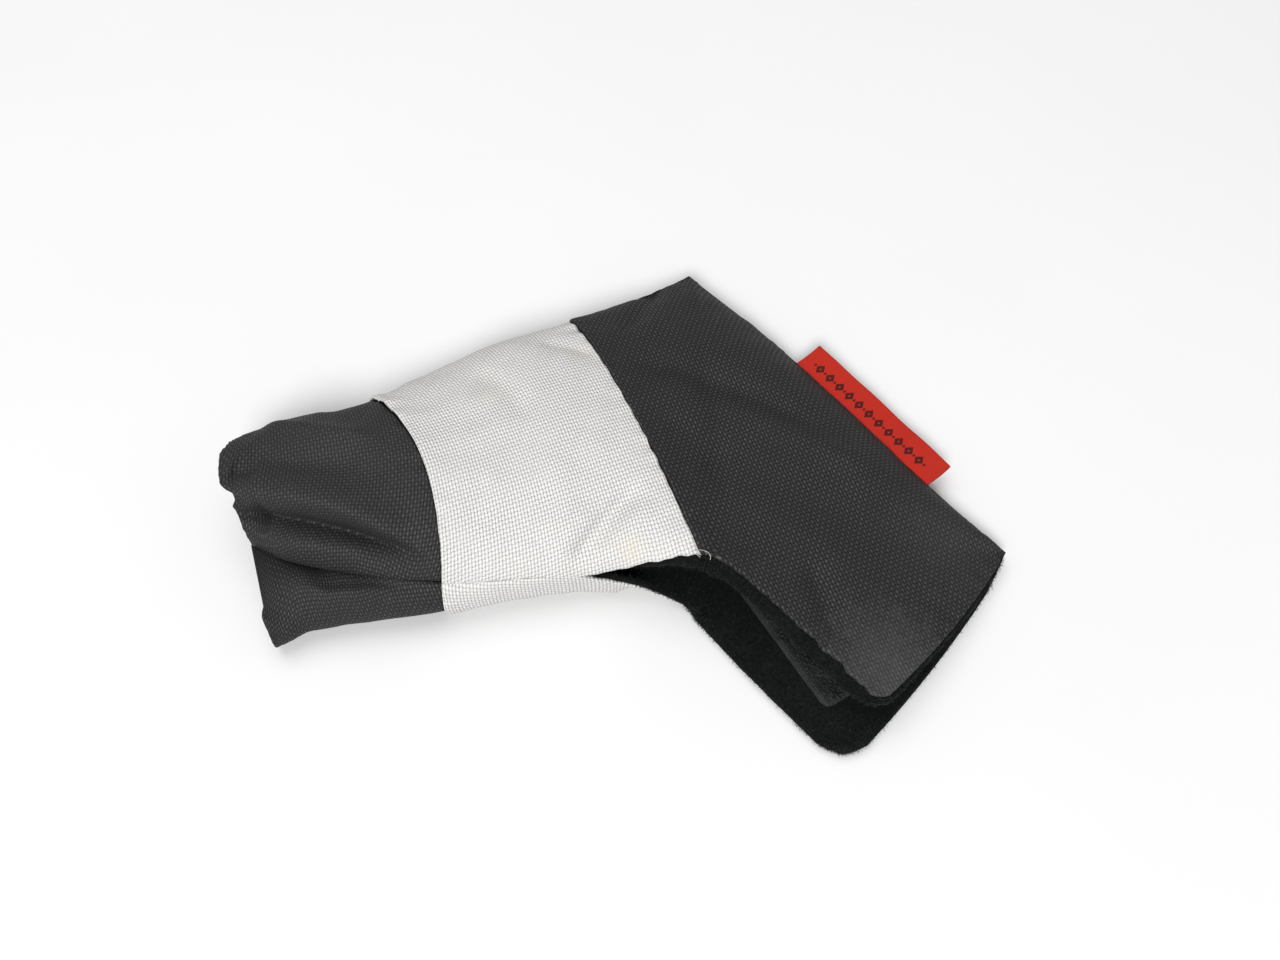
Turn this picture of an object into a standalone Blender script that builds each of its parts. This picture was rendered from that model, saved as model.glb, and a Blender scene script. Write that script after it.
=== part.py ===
"""Padded fabric cover for a blade putter head, lying on its back panel.

The bag is one closed section swept along the neck and fanned out over the head pocket. Each
station below gives that section by its near edge, its far seam and how it swells between them.
Wall pieces are slabs between two depths below the outer skin, so that they nest and never touch.
+X runs along the cover towards the toe, +Y towards the far seam, and the table is at z = 0.
"""

import math
from collections import namedtuple

import bmesh
import bpy
from mathutils import Vector
from mathutils.bvhtree import BVHTree

MM = 0.001

# Layers, from the outer skin inwards
CANVAS = 0.9 * MM
LINING = 1.8 * MM
TAPE = 1.0 * MM
GAP = 0.3 * MM
LINING_GAP = 0.5 * MM
LINING_OUTER = CANVAS + LINING_GAP
LINING_INNER = LINING_OUTER + LINING

# Trims
THREAD_R = 0.35 * MM
CHANNEL_NECK = 1.3 * MM
CHANNEL_POCKET = 2.4 * MM
CHANNEL_END = 2.6
STITCH_R = 0.2 * MM
STITCH_INSET = 2.0 * MM
TAPE_WIDTH = 14 * MM
LOOP_LENGTH = 45 * MM
HOOK_LENGTH = 30 * MM
HOOK_FROM_EDGE = 8 * MM
HOOK_FROM_TOE = 7 * MM
TAPE_CORNER = 3 * MM
LABEL_SIZE = (58.5 * MM, 9.3 * MM, 0.8 * MM)
LABEL_ENDS = ((59.7, 46.8), (96.9, 1.8))
LINING_RIM = 1.6 * MM
RIM_DROOP = 3.2 * MM
RIM_TAPER = 8
FOLD_LIFT = 0.8 * MM
TOE_RADIUS_FRONT = 5 * MM
TOE_RADIUS_BACK = 10 * MM

# Where the sections change style, as station numbers
MOUTH, CUFF_END, SLIT_START, BAND_END, HEEL, TOE = 0, 2, 3, 4, 6, 9
HEM_STOP = 6
HEM_ROW = 1
NEAR_TURN = 0.34
FAR_TURN = 0.28

# Each makes the top of its swelling curve equal 1
SLIT_PEAK = 2.6
PILLOW_PEAK = 6.75

# How the back panel turns up to its seams
NEAR_SHARE = 0.2
FAR_SHARE = 0.22
UNDER_TURN = 8 * MM
SOLE_TURN = 14 * MM
FLAT_EDGE = 3 * MM
TUBE_EDGE = 11 * MM

# Where two walls close in on each other, all layers thin to these shares of the space between them
WEDGE_SHARE = 0.38
SEAM_SHARE = 0.75
SHARP_SEAM = 1.15
SEAM_WEDGE = 2.0
MOST_PULL = 0.45

Station = namedtuple("Station", "near_front near_back far bow crown belly flare")

# near_front, near_back and far are x, y, z in millimetres. bow is how far the cross line bends
# towards the toe, crown how far the front swells, belly how far the back bulges past the near seam,
# and flare how far that bulge leans towards the toe.
STATIONS = [
    Station((-106.0, -24.5, 13.5), (-106.0, -24.5, 13.5), (-117.5, 9.0, 15.0), -2.0, 15.0, 29.0, 0.0),
    Station((-80.0, -31.5, 16.0), (-80.0, -31.5, 16.0), (-96.0, 19.8, 14.0), 3.0, 15.0, 14.0, -2.0),
    Station((-47.7, -35.5, 17.0), (-47.7, -35.5, 17.0), (-76.1, 26.0, 14.0), 7.0, 15.0, 5.5, -3.0),
    Station((-9.8, -34.2, 15.0), (-9.8, -34.2, 15.0), (-42.0, 45.0, 14.0), 5.0, 16.0, 0.5, 0.0),
    Station((25.4, -31.3, 24.5), (20.0, -36.2, 1.4), (-14.7, 57.0, 14.0), 1.5, 9.0, 0.0, 0.0),
    Station((31.0, -33.2, 23.3), (24.8, -40.6, 0.0), (12.8, 71.5, 12.0), 0.0, 8.0, 0.0, 0.0),
    Station((37.0, -36.6, 22.0), (29.5, -46.0, 0.0), (24.7, 81.4, 8.0), 0.0, 8.0, 0.0, 0.0),
    Station((49.6, -47.6, 19.3), (42.0, -60.5, 0.0), (59.0, 46.0, 7.5), 0.0, 8.0, 0.0, 0.0),
    Station((64.0, -61.6, 16.1), (55.5, -75.2, 0.0), (97.0, 0.8, 6.0), 0.6, 5.0, 0.0, 0.0),
    Station((73.7, -72.1, 14.0), (64.3, -85.0, 0.0), (117.4, -21.4, 5.0), 2.2, 1.0, 0.0, 0.0),
]
CENTRE = Vector((0.09, -0.13, 0.0)) * MM

ROWS = {(MOUTH, CUFF_END): 6, (CUFF_END, SLIT_START): 4, (SLIT_START, BAND_END): 5,
        (BAND_END, HEEL): 4, (HEEL, TOE): 10}
FRONT_COLUMNS = 14
BACK_COLUMNS = 18

COLOURS = {
    "black_canvas": ((0.028, 0.028, 0.032), 0.75),
    "silver_canvas": ((0.62, 0.62, 0.63), 0.6),
    "black_fleece": ((0.006, 0.006, 0.007), 0.95),
    "hook_and_loop": ((0.012, 0.014, 0.014), 0.9),
    "red_ribbon": ((0.55, 0.045, 0.025), 0.7),
    "black_thread": ((0.015, 0.015, 0.017), 0.6),
}


def clear_scene():
    for obj in list(bpy.data.objects):
        bpy.data.objects.remove(obj, do_unlink=True)


def new_collection(name):
    collection = bpy.data.collections.new(name)
    bpy.context.scene.collection.children.link(collection)
    return collection


def material(name):
    colour, roughness = COLOURS[name]
    made = bpy.data.materials.get(name) or bpy.data.materials.new(name)
    made.use_nodes = True
    shader = made.node_tree.nodes["Principled BSDF"]
    shader.inputs["Base Color"].default_value = (*colour, 1.0)
    shader.inputs["Roughness"].default_value = roughness
    shader.inputs["Metallic"].default_value = 0.0
    made.diffuse_color = (*colour, 1.0)
    return made


def add_object(name, data, finish, collection):
    obj = bpy.data.objects.new(name, data)
    data.materials.append(material(finish))
    collection.objects.link(obj)
    return obj


def mix(a, b, share):
    return a + (b - a) * share


def catmull_rom(a, b, c, d, share):
    return (b * 2 + (c - a) * share + (a * 2 - b * 5 + c * 4 - d) * share**2
            + (b * 3 - a - c * 3 + d) * share**3) * 0.5


def along(values, s, corners=()):
    """The value at station number s on a smooth curve through one value a station, kinked at corners."""
    low = min(int(s), len(values) - 2)
    before = values[low - 1] if low > 0 and low not in corners else values[low] * 2 - values[low + 1]
    last = low + 1 == len(values) - 1 or low + 1 in corners
    after = values[low + 1] * 2 - values[low] if last else values[low + 2]
    return catmull_rom(before, values[low], values[low + 1], after, s - low)


def station_points(field):
    return [Vector(getattr(row, field)) * MM + CENTRE for row in STATIONS]


def station_sizes(field):
    return [getattr(row, field) * MM for row in STATIONS]


NEAR_FRONT = station_points("near_front")
NEAR_BACK = station_points("near_back")
FAR = station_points("far")
BOW = station_sizes("bow")
CROWN = station_sizes("crown")
BELLY = station_sizes("belly")
FLARE = station_sizes("flare")
FOLD_START = NEAR_FRONT[BAND_END]
FOLD_END = FAR[TOE]


def flat(vector):
    return Vector((vector.x, vector.y, 0.0))


def cross_2d(a, b):
    return a.x * b.y - a.y * b.x


def pocket_share(s):
    """0 in the tubular neck and 1 in the head pocket, changing smoothly round the heel."""
    share = min(max((s - SLIT_START - 0.5) / (HEEL - SLIT_START - 0.5), 0.0), 1.0)
    return share * share * (3 - 2 * share)


def opening_share(s):
    """0 where the near seam is closed, and 1 where the slit stands fully open."""
    return min(max(s - SLIT_START, 0.0) / (BAND_END - SLIT_START), 1.0)


def cross_line(s, near_points):
    """Near edge, far seam, unit direction between them in plan, and the bow's direction."""
    near = along(near_points, s)
    far = along(FAR, s, corners=(HEEL,))
    across = flat(far - near).normalized()
    return near, far, across, Vector((across.y, -across.x, 0.0))


def fold_at(s, near, far):
    """Share of the cross line at which it meets the fold of the flap, and the fold's height there."""
    if s <= BAND_END:
        return 0.0, near.z
    fold = FOLD_END - FOLD_START
    chord = far - near
    share = cross_2d(FOLD_START - near, fold) / cross_2d(chord, fold)
    share = min(max(share, 0.0), 1.0)
    run = (near + chord * share - FOLD_START).dot(flat(fold)) / flat(fold).length_squared
    return share, FOLD_START.z + fold.z * min(max(run, 0.0), 1.0)


def front_skin(s, t):
    """Outer skin of the front, t running from 0 at the near edge to 1 at the far seam."""
    near, far, _, ahead = cross_line(s, NEAR_FRONT)
    pocket = pocket_share(s)
    opening = opening_share(s)
    neck = mix((1 - math.cos(math.pi * t)) / 2, math.sin(math.pi / 2 * t), opening)
    across = mix(neck, t, pocket)
    fold, fold_height = fold_at(s, near, far)
    crown = along(CROWN, s)
    beyond = (across - fold) / (1 - fold) if across > fold else 0.0
    if across <= fold and fold > 0:
        height = mix(near.z, fold_height, across / fold)
    else:
        height = mix(fold_height, far.z, beyond)
    fall = math.sqrt(max(1 - across, 0.0))
    tube = crown * mix(2 * math.sqrt(across) * fall, SLIT_PEAK * across * fall, opening)
    pillow = crown * PILLOW_PEAK * beyond**2 * (1 - beyond)
    height += mix(tube, pillow, pocket)
    bow = along(BOW, s) * 4 * across * (1 - across)
    point = mix(near, far, across) + ahead * bow
    return Vector((point.x, point.y, height))


def near_roll(s, t, near, width):
    """The back panel's near side: rolled out and under a tubular neck, or lying flat in the pocket."""
    belly = along(BELLY, s)
    turn = math.acos(1 - 2 * t / NEAR_TURN)
    squareness = min(1.0, 0.5 * near.z / belly) if belly > 0 else 1.0
    if turn < math.pi / 2:
        rolled = -belly * math.sin(turn) ** squareness
    else:
        rolled = (belly + UNDER_TURN) * (1 - max(math.sin(turn), 0.0) ** squareness) - belly
    lying = NEAR_SHARE * width * t / NEAR_TURN
    tubular = min(max((near.z - FLAT_EDGE) / (TUBE_EDGE - FLAT_EDGE), 0.0), 1.0)
    return mix(lying, rolled, tubular), max(near.z, 0.0) * (1 + math.cos(turn)) / 2


def far_turn(s, t, far, width):
    """The back panel's far side, which turns up to the seam: upright at the neck, sloping at the sole."""
    pocket = pocket_share(s)
    turn = (1 - t) / FAR_TURN
    curl = 1 - math.cos(math.pi / 2 * turn)
    reach = mix(FAR_SHARE * width * curl, SOLE_TURN * turn, pocket)
    return width - reach, far.z * (1 - math.sin(math.pi / 2 * turn))


def back_skin(s, t):
    """Outer skin of the back, from its near edge, round underneath and up to the far seam."""
    near, far, out, ahead = cross_line(s, NEAR_BACK)
    width = flat(far - near).length
    if t <= NEAR_TURN:
        across, height = near_roll(s, t, near, width)
    elif t > 1 - FAR_TURN:
        across, height = far_turn(s, t, far, width)
    else:
        low = near_roll(s, NEAR_TURN, near, width)[0]
        high = far_turn(s, 1 - FAR_TURN, far, width)[0]
        across, height = mix(low, high, (t - NEAR_TURN) / (1 - FAR_TURN - NEAR_TURN)), 0.0
    share = min(max(across / width, 0.0), 1.0)
    bow = along(BOW, s) * 4 * share * (1 - share)
    rolled = max(-across / along(BELLY, s), 0.0) if across < 0 else 0.0
    point = near + out * across + ahead * (bow + along(FLARE, s) * rolled)
    return Vector((point.x, point.y, height))


def round_toe_corner(point, corner, along_toe, along_edge, radius):
    """Maps the square corner of a panel on to a quarter disc."""
    offset = flat(point - corner)
    a = cross_2d(offset, along_edge) / cross_2d(along_toe, along_edge)
    b = cross_2d(offset, along_toe) / cross_2d(along_edge, along_toe)
    if a >= radius or b >= radius:
        return point
    from_a, from_b = radius - a, radius - b
    new_a = radius - from_a * math.sqrt(1 - from_b**2 / (2 * radius**2))
    new_b = radius - from_b * math.sqrt(1 - from_a**2 / (2 * radius**2))
    return point + along_toe * (new_a - a) + along_edge * (new_b - b)


def row_positions():
    positions = []
    for (start, end), count in ROWS.items():
        positions += [mix(start, end, i / count) for i in range(count)]
    return positions + [TOE]


def grid_of(skin, near_points, columns, radius):
    corner = near_points[TOE]
    along_toe = flat(FAR[TOE] - corner).normalized()
    along_edge = flat(near_points[TOE - 1] - corner).normalized()
    grid = []
    for s in row_positions():
        row = [skin(s, j / columns) for j in range(columns + 1)]
        if s > HEEL:
            row = [round_toe_corner(p, corner, along_toe, along_edge, radius) for p in row]
        grid.append(row)
    return grid


class Skin:
    """The outer skin of the whole bag, which gives any point's place at a depth below it."""

    def __init__(self):
        self.rows = row_positions()
        self.mesh = bmesh.new()
        self.front = self.add(grid_of(front_skin, NEAR_FRONT, FRONT_COLUMNS, TOE_RADIUS_FRONT))
        self.back = self.add(grid_of(back_skin, NEAR_BACK, BACK_COLUMNS, TOE_RADIUS_BACK), self.front)
        self.fill(self.front, flip=False)
        self.fill(self.back, flip=True)
        self.mesh.normal_update()
        self.reach = self.depth_factors()

    def add(self, grid, seams=None):
        """Makes the grid's vertices, sharing those of the seams that the two panels have in common."""
        made = []
        for i, points in enumerate(grid):
            row = [None if self.shared(i, j, len(points), seams) else self.mesh.verts.new(p)
                   for j, p in enumerate(points)]
            if seams:
                row[-1] = seams[i][-1]
                row[0] = row[0] or seams[i][0]
            made.append(row)
        return made

    def shared(self, i, j, count, seams):
        if not seams:
            return False
        return j == count - 1 or (j == 0 and self.rows[i] <= SLIT_START)

    def fill(self, grid, flip):
        for low, high in zip(grid, grid[1:]):
            for a, b, c, d in zip(low, high, high[1:], low[1:]):
                self.mesh.faces.new((a, d, c, b) if flip else (a, b, c, d))

    def row_at(self, s):
        return min(range(len(self.rows)), key=lambda i: abs(self.rows[i] - s))

    def depth_factors(self):
        """How far each point moves inwards for a unit of depth: more at a corner, less in a wedge."""
        tree = BVHTree.FromBMesh(self.mesh)
        factors = {}
        for vertex in self.mesh.verts:
            factor = vertex.calc_shell_factor()
            if factor > SHARP_SEAM:
                nearest = min(edge.calc_length() for edge in vertex.link_edges)
                factor = min(factor, SEAM_SHARE * nearest / LINING_INNER)
            else:
                inward = -vertex.normal
                space = tree.ray_cast(vertex.co + inward * GAP, inward)[3]
                if space is not None:
                    factor = min(factor, WEDGE_SHARE * space / LINING_INNER)
            factors[vertex] = factor
        return factors

    def at(self, vertex, depth, clearance=0.0):
        return vertex.co - vertex.normal * (depth * self.reach[vertex] + clearance)


def pull_in(points, i, j, inner_i, inner_j, distance):
    step = points[inner_i][inner_j] - points[i][j]
    return points[i][j] + step.normalized() * min(distance, MOST_PULL * step.length)


def trimmed(points, pulls):
    """Moves the four borders of a grid of points inwards by the given distances."""
    first, last, near, far = pulls
    rows, columns = len(points), len(points[0])
    out = [[p.copy() for p in row] for row in points]
    for j in range(columns):
        out[0][j] = pull_in(points, 0, j, 1, j, first)
        out[-1][j] = pull_in(points, rows - 1, j, rows - 2, j, last)
    source = [[p.copy() for p in row] for row in out]
    for i in range(rows):
        out[i][0] = pull_in(source, i, 0, i, 1, near[i])
        out[i][-1] = pull_in(source, i, columns - 1, i, columns - 2, far[i])
    return out


def slab(name, finish, collection, outer, inner, outward_is_up):
    """A closed sheet lofted between two grids of the same size, one just under the other."""
    mesh = bmesh.new()
    top = [[mesh.verts.new(p) for p in row] for row in outer]
    low = [[mesh.verts.new(p) for p in row] for row in inner]
    for grid, flip in ((top, not outward_is_up), (low, outward_is_up)):
        for first, second in zip(grid, grid[1:]):
            for a, b, c, d in zip(first, second, second[1:], first[1:]):
                mesh.faces.new((a, d, c, b) if flip else (a, b, c, d))
    border = [(top[i][0], low[i][0]) for i in range(len(top))]
    border += [(top[-1][j], low[-1][j]) for j in range(1, len(top[0]))]
    border += [(top[i][-1], low[i][-1]) for i in range(len(top) - 2, -1, -1)]
    border += [(top[0][j], low[0][j]) for j in range(len(top[0]) - 2, 0, -1)]
    for (a, b), (c, d) in zip(border, border[1:] + border[:1]):
        mesh.faces.new((a, b, d, c) if outward_is_up else (a, c, d, b))
    data = bpy.data.meshes.new(name)
    mesh.to_mesh(data)
    mesh.free()
    data.shade_smooth()
    data.set_sharp_from_angle(angle=math.radians(40))
    return add_object(name, data, finish, collection)


def seam_channel(s):
    """How far the lining stops short of a closing seam, to leave room for its thread."""
    return mix(CHANNEL_NECK, CHANNEL_POCKET, pocket_share(s))


def panel(name, finish, collection, skin, side, span, depths, rims=None):
    """One wall piece of the front or the back, over a span of stations."""
    grid = getattr(skin, side)
    first, last = skin.row_at(span[0]), skin.row_at(span[1])
    rows = grid[first:last + 1]
    stations = skin.rows[first:last + 1]
    half = GAP / 2
    beside_seam = [seam_channel(s) if rims else half for s in stations]
    beside_slit = [0.0 if s > SLIT_START else pull if s < CHANNEL_END else half
                   for s, pull in zip(stations, beside_seam)]
    pulls = (half if span[0] > MOUTH else 0.0, half if span[1] < TOE else 0.0,
             beside_slit, beside_seam)
    layers = [trimmed([[skin.at(v, depth) for v in row] for row in rows], pulls) for depth in depths]
    if rims:
        layers = rims(layers, stations)
    return slab(name, finish, collection, layers[0], layers[1], side == "front")


def lining_rim(droop):
    """Lets the fleece stand past the canvas along the slit and the toe, and roll down by droop."""
    def grow(layers, stations):
        outer = layers[0]
        grown = [[[p.copy() for p in row] for row in layer] for layer in layers]
        for i, s in enumerate(stations):
            opening = opening_share(s) ** 2
            away = (outer[i][0] - outer[i][1]).normalized() * LINING_RIM
            for layer in grown:
                layer[i][0] += (away - Vector((0, 0, droop))) * opening
        last = len(outer[0]) - 1
        for j in range(last + 1):
            reach = LINING_RIM * min(max(last - 2 - j, 0) / RIM_TAPER, 1.0)
            away = (outer[-1][j] - outer[-2][j]).normalized() * reach
            for layer in grown:
                layer[-1][j] += away
        return grown
    return grow


def half_space(name, origin, along_line, keep_left, collection):
    """A large box on one side of the upright plane through the fold line."""
    size = 0.4
    direction = flat(along_line).normalized()
    left = Vector((-direction.y, direction.x, 0.0)) * (1 if keep_left else -1)
    mesh = bmesh.new()
    bmesh.ops.create_cube(mesh, size=size)
    data = bpy.data.meshes.new(name)
    mesh.to_mesh(data)
    mesh.free()
    obj = bpy.data.objects.new(name, data)
    obj.location = flat(origin) + left * (size / 2 + GAP / 2)
    obj.rotation_euler = (0.0, 0.0, math.atan2(direction.y, direction.x))
    obj.hide_render = True
    obj.display_type = "WIRE"
    collection.objects.link(obj)
    return obj


def keep_inside(obj, cutter):
    cut = obj.modifiers.new("fold_cut", "BOOLEAN")
    cut.operation = "INTERSECT"
    cut.solver = "EXACT"
    cut.object = cutter


def set_origin(obj, point):
    """Moves the object's origin on to the point and leaves its shape where it is."""
    for vertex in obj.data.vertices:
        vertex.co -= point
    obj.location = point


def tube(name, points, radius, finish, collection, cyclic=False):
    curve = bpy.data.curves.new(name, "CURVE")
    curve.dimensions = "3D"
    curve.bevel_depth = radius
    curve.bevel_resolution = 1
    curve.use_fill_caps = True
    spline = curve.splines.new("POLY")
    spline.points.add(len(points) - 1)
    for spot, point in zip(spline.points, points):
        spot.co = (*point, 1.0)
    spline.use_cyclic_u = cyclic
    return add_object(name, curve, finish, collection)


def rounded_rectangle(length, width, radius, steps=3):
    """Outline points, anticlockwise, centred on the origin."""
    points = []
    for quarter in range(4):
        sign_x = 1 if quarter in (0, 3) else -1
        sign_y = 1 if quarter in (0, 1) else -1
        for step in range(steps + 1):
            angle = (quarter + step / steps) * math.pi / 2
            points.append(Vector((sign_x * (length / 2 - radius) + radius * math.cos(angle),
                                  sign_y * (width / 2 - radius) + radius * math.sin(angle), 0.0)))
    return points


def plate(name, outline, thickness, finish, collection):
    """A flat outline with a thickness, centred on its own plane."""
    curve = bpy.data.curves.new(name, "CURVE")
    curve.dimensions = "2D"
    curve.fill_mode = "BOTH"
    curve.extrude = thickness / 2
    spline = curve.splines.new("POLY")
    spline.points.add(len(outline) - 1)
    for spot, point in zip(spline.points, outline):
        spot.co = (*point, 1.0)
    spline.use_cyclic_u = True
    return add_object(name, curve, finish, collection)


def place(obj, origin, x_axis, normal):
    """Lays an object's X along x_axis and its Z along normal."""
    z_axis = normal.normalized()
    x_axis = (x_axis - z_axis * x_axis.dot(z_axis)).normalized()
    y_axis = z_axis.cross(x_axis)
    obj.location = origin
    rotation = obj.matrix_world.to_3x3()
    rotation.col[0], rotation.col[1], rotation.col[2] = x_axis, y_axis, z_axis
    obj.rotation_euler = rotation.to_euler()


def parent_to(child, parent):
    child.parent = parent
    child.matrix_parent_inverse = parent.matrix_world.inverted()


def hinge_empty(name, point, collection):
    empty = bpy.data.objects.new(name, None)
    empty.empty_display_size = 0.01
    empty.location = point
    collection.objects.link(empty)
    return empty


def make_shell(skin, parts):
    canvas, lining = (0.0, CANVAS), (LINING_OUTER, LINING_INNER)
    for side in ("front", "back"):
        panel(f"cuff_{side}", "black_canvas", parts, skin, side, (MOUTH, CUFF_END), canvas)
        panel(f"band_{side}", "silver_canvas", parts, skin, side, (CUFF_END, BAND_END), canvas)
    panel("head_back_panel", "black_canvas", parts, skin, "back", (BAND_END, TOE), canvas)
    panel("lining_back", "black_fleece", parts, skin, "back", (MOUTH, TOE), lining,
          lining_rim(0.0))


def make_folding_front(skin, parts, cutters, hinge):
    fold = FOLD_END - FOLD_START
    fixed_side = half_space("fixed_side_cutter", FOLD_START, fold, True, cutters)
    flap_side = half_space("flap_side_cutter", FOLD_START, fold, False, cutters)
    layers = (
        ("head_front_panel", "head_front_flap", "black_canvas", BAND_END, (0.0, CANVAS), None),
        ("lining_front", "lining_front_flap", "black_fleece", MOUTH, (LINING_OUTER, LINING_INNER),
         lining_rim(RIM_DROOP)),
    )
    for fixed_name, flap_name, finish, start, depths, rims in layers:
        fixed = panel(fixed_name, finish, parts, skin, "front", (start, TOE), depths, rims)
        keep_inside(fixed, fixed_side)
        flap = panel(flap_name, finish, parts, skin, "front", (BAND_END, TOE), depths, rims)
        keep_inside(flap, flap_side)
        set_origin(flap, hinge.location)
        flap.location = (0, 0, 0)
        flap.parent = hinge


def sewn_tape(name, length, centre, direction, normal, outer_face, parts):
    """A tape with rounded corners, and a thread round its border, on top for outer_face 1 or below for -1."""
    tape = plate(name, rounded_rectangle(length, TAPE_WIDTH, TAPE_CORNER), TAPE, "hook_and_loop", parts)
    place(tape, centre, direction, normal)
    border = rounded_rectangle(length - 2 * STITCH_INSET, TAPE_WIDTH - 2 * STITCH_INSET,
                               TAPE_CORNER - STITCH_INSET / 2)
    thread = tube(name + "_stitching", border, STITCH_R, "black_thread", parts, cyclic=True)
    lift = (TAPE / 2 + GAP + STITCH_R) * outer_face
    place(thread, centre + normal * lift, direction, normal)
    return tape, thread


def make_tapes(parts, hinge):
    """The loop tape on the back lining, and the hook tape inside the free corner of the flap."""
    start, end = Vector((36.5, -31.7, 0)) * MM + CENTRE, Vector((60.2, -70.0, 0)) * MM + CENTRE
    direction = (end - start).normalized()
    inward = Vector((-direction.y, direction.x, 0.0))
    up = Vector((0, 0, 1))
    loop_centre = end - direction * LOOP_LENGTH / 2 + inward * TAPE_WIDTH / 2
    loop_centre += up * (LINING_INNER + GAP + TAPE / 2)
    sewn_tape("loop_tape", LOOP_LENGTH, loop_centre, direction, up, 1, parts)

    corner = NEAR_FRONT[TOE]
    normal = (FOLD_END - corner).cross(FOLD_START - corner).normalized()
    along_edge = (FOLD_START - corner).normalized()
    inward = along_edge.cross(normal)
    hook_centre = corner + along_edge * (HOOK_FROM_TOE + HOOK_LENGTH / 2)
    hook_centre += inward * (HOOK_FROM_EDGE + TAPE_WIDTH / 2)
    hook_centre -= normal * (LINING_INNER + GAP + TAPE / 2)
    hook = sewn_tape("hook_tape", HOOK_LENGTH, hook_centre, along_edge, normal, -1, parts)
    bpy.context.view_layer.update()
    for piece in hook:
        parent_to(piece, hinge)


def make_label(parts):
    """A folded ribbon that stands out of the sole seam, on its own hinge along the seam."""
    start, end = (Vector((*point, 0.0)) * MM + CENTRE for point in LABEL_ENDS)
    direction = (end - start).normalized()
    middle = (start + end) / 2
    middle.z = (FAR[HEEL + 1].z + FAR[TOE - 1].z) / 2
    hinge = hinge_empty("label_hinge", middle, parts)
    mesh = bmesh.new()
    bmesh.ops.create_cube(mesh, size=1.0)
    bmesh.ops.scale(mesh, vec=LABEL_SIZE, verts=mesh.verts)
    bmesh.ops.translate(mesh, vec=(0, LABEL_SIZE[1] / 2, 0), verts=mesh.verts)
    data = bpy.data.meshes.new("woven_label")
    mesh.to_mesh(data)
    mesh.free()
    label = add_object("woven_label", data, "red_ribbon", parts)
    place(label, middle, direction, Vector((0, 0, 1)))
    label.location = (0, 0, 0)
    label.parent = hinge
    rounding = label.modifiers.new("rounded_edges", "BEVEL")
    rounding.width = 0.2 * MM
    rounding.segments = 2


def make_seam_threads(skin, parts):
    """The thread of each closing seam, lying against the canvas between the edges of the linings."""
    def seam(name, column, start, end):
        points = []
        for i in range(skin.row_at(start), skin.row_at(end) + 1):
            room = mix(1.0, SEAM_WEDGE, pocket_share(skin.rows[i]))
            points.append(skin.at(skin.front[i][column], CANVAS, (GAP + THREAD_R) * room))
        tube(name, points, THREAD_R, "black_thread", parts)

    seam("side_seam_thread", 0, skin.rows[HEM_ROW], CHANNEL_END - 0.2)
    seam("top_seam_thread", -1, skin.rows[HEM_ROW], HEEL - 0.5)
    seam("sole_seam_thread", -1, HEEL + 0.3, TOE - 0.3)

    loop = skin.front[HEM_ROW][2:-1] + skin.back[HEM_ROW][-2:HEM_STOP:-1]
    hem = [skin.at(vertex, LINING_INNER, 2 * GAP + THREAD_R) for vertex in loop]
    tube("mouth_hem_thread", hem, THREAD_R, "black_thread", parts)


def main():
    clear_scene()
    parts = new_collection("putter_head_cover")
    cutters = new_collection("cutters")
    skin = Skin()
    flap_hinge = hinge_empty("flap_hinge", FOLD_START + Vector((0, 0, FOLD_LIFT)), parts)
    make_shell(skin, parts)
    make_folding_front(skin, parts, cutters, flap_hinge)
    make_tapes(parts, flap_hinge)
    make_label(parts)
    make_seam_threads(skin, parts)
    skin.mesh.free()


main()
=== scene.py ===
import math

import bpy
import numpy as np
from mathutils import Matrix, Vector
from mathutils.bvhtree import BVHTree


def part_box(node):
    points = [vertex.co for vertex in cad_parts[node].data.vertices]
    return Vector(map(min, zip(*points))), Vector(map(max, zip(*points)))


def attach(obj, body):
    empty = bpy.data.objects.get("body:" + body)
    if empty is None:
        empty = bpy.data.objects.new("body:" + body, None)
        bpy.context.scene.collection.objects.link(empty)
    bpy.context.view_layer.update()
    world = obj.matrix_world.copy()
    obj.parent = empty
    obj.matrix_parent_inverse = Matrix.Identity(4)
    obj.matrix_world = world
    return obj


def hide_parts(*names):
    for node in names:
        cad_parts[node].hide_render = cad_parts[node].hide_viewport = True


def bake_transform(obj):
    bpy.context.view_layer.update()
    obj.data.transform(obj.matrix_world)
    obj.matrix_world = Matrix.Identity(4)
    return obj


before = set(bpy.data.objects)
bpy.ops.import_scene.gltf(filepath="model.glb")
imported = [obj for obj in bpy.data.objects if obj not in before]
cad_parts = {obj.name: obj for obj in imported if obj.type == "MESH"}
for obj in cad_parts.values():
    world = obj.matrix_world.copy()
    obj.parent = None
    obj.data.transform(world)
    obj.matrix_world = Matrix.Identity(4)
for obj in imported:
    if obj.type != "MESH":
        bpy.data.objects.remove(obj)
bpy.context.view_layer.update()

MM = 0.001

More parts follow.
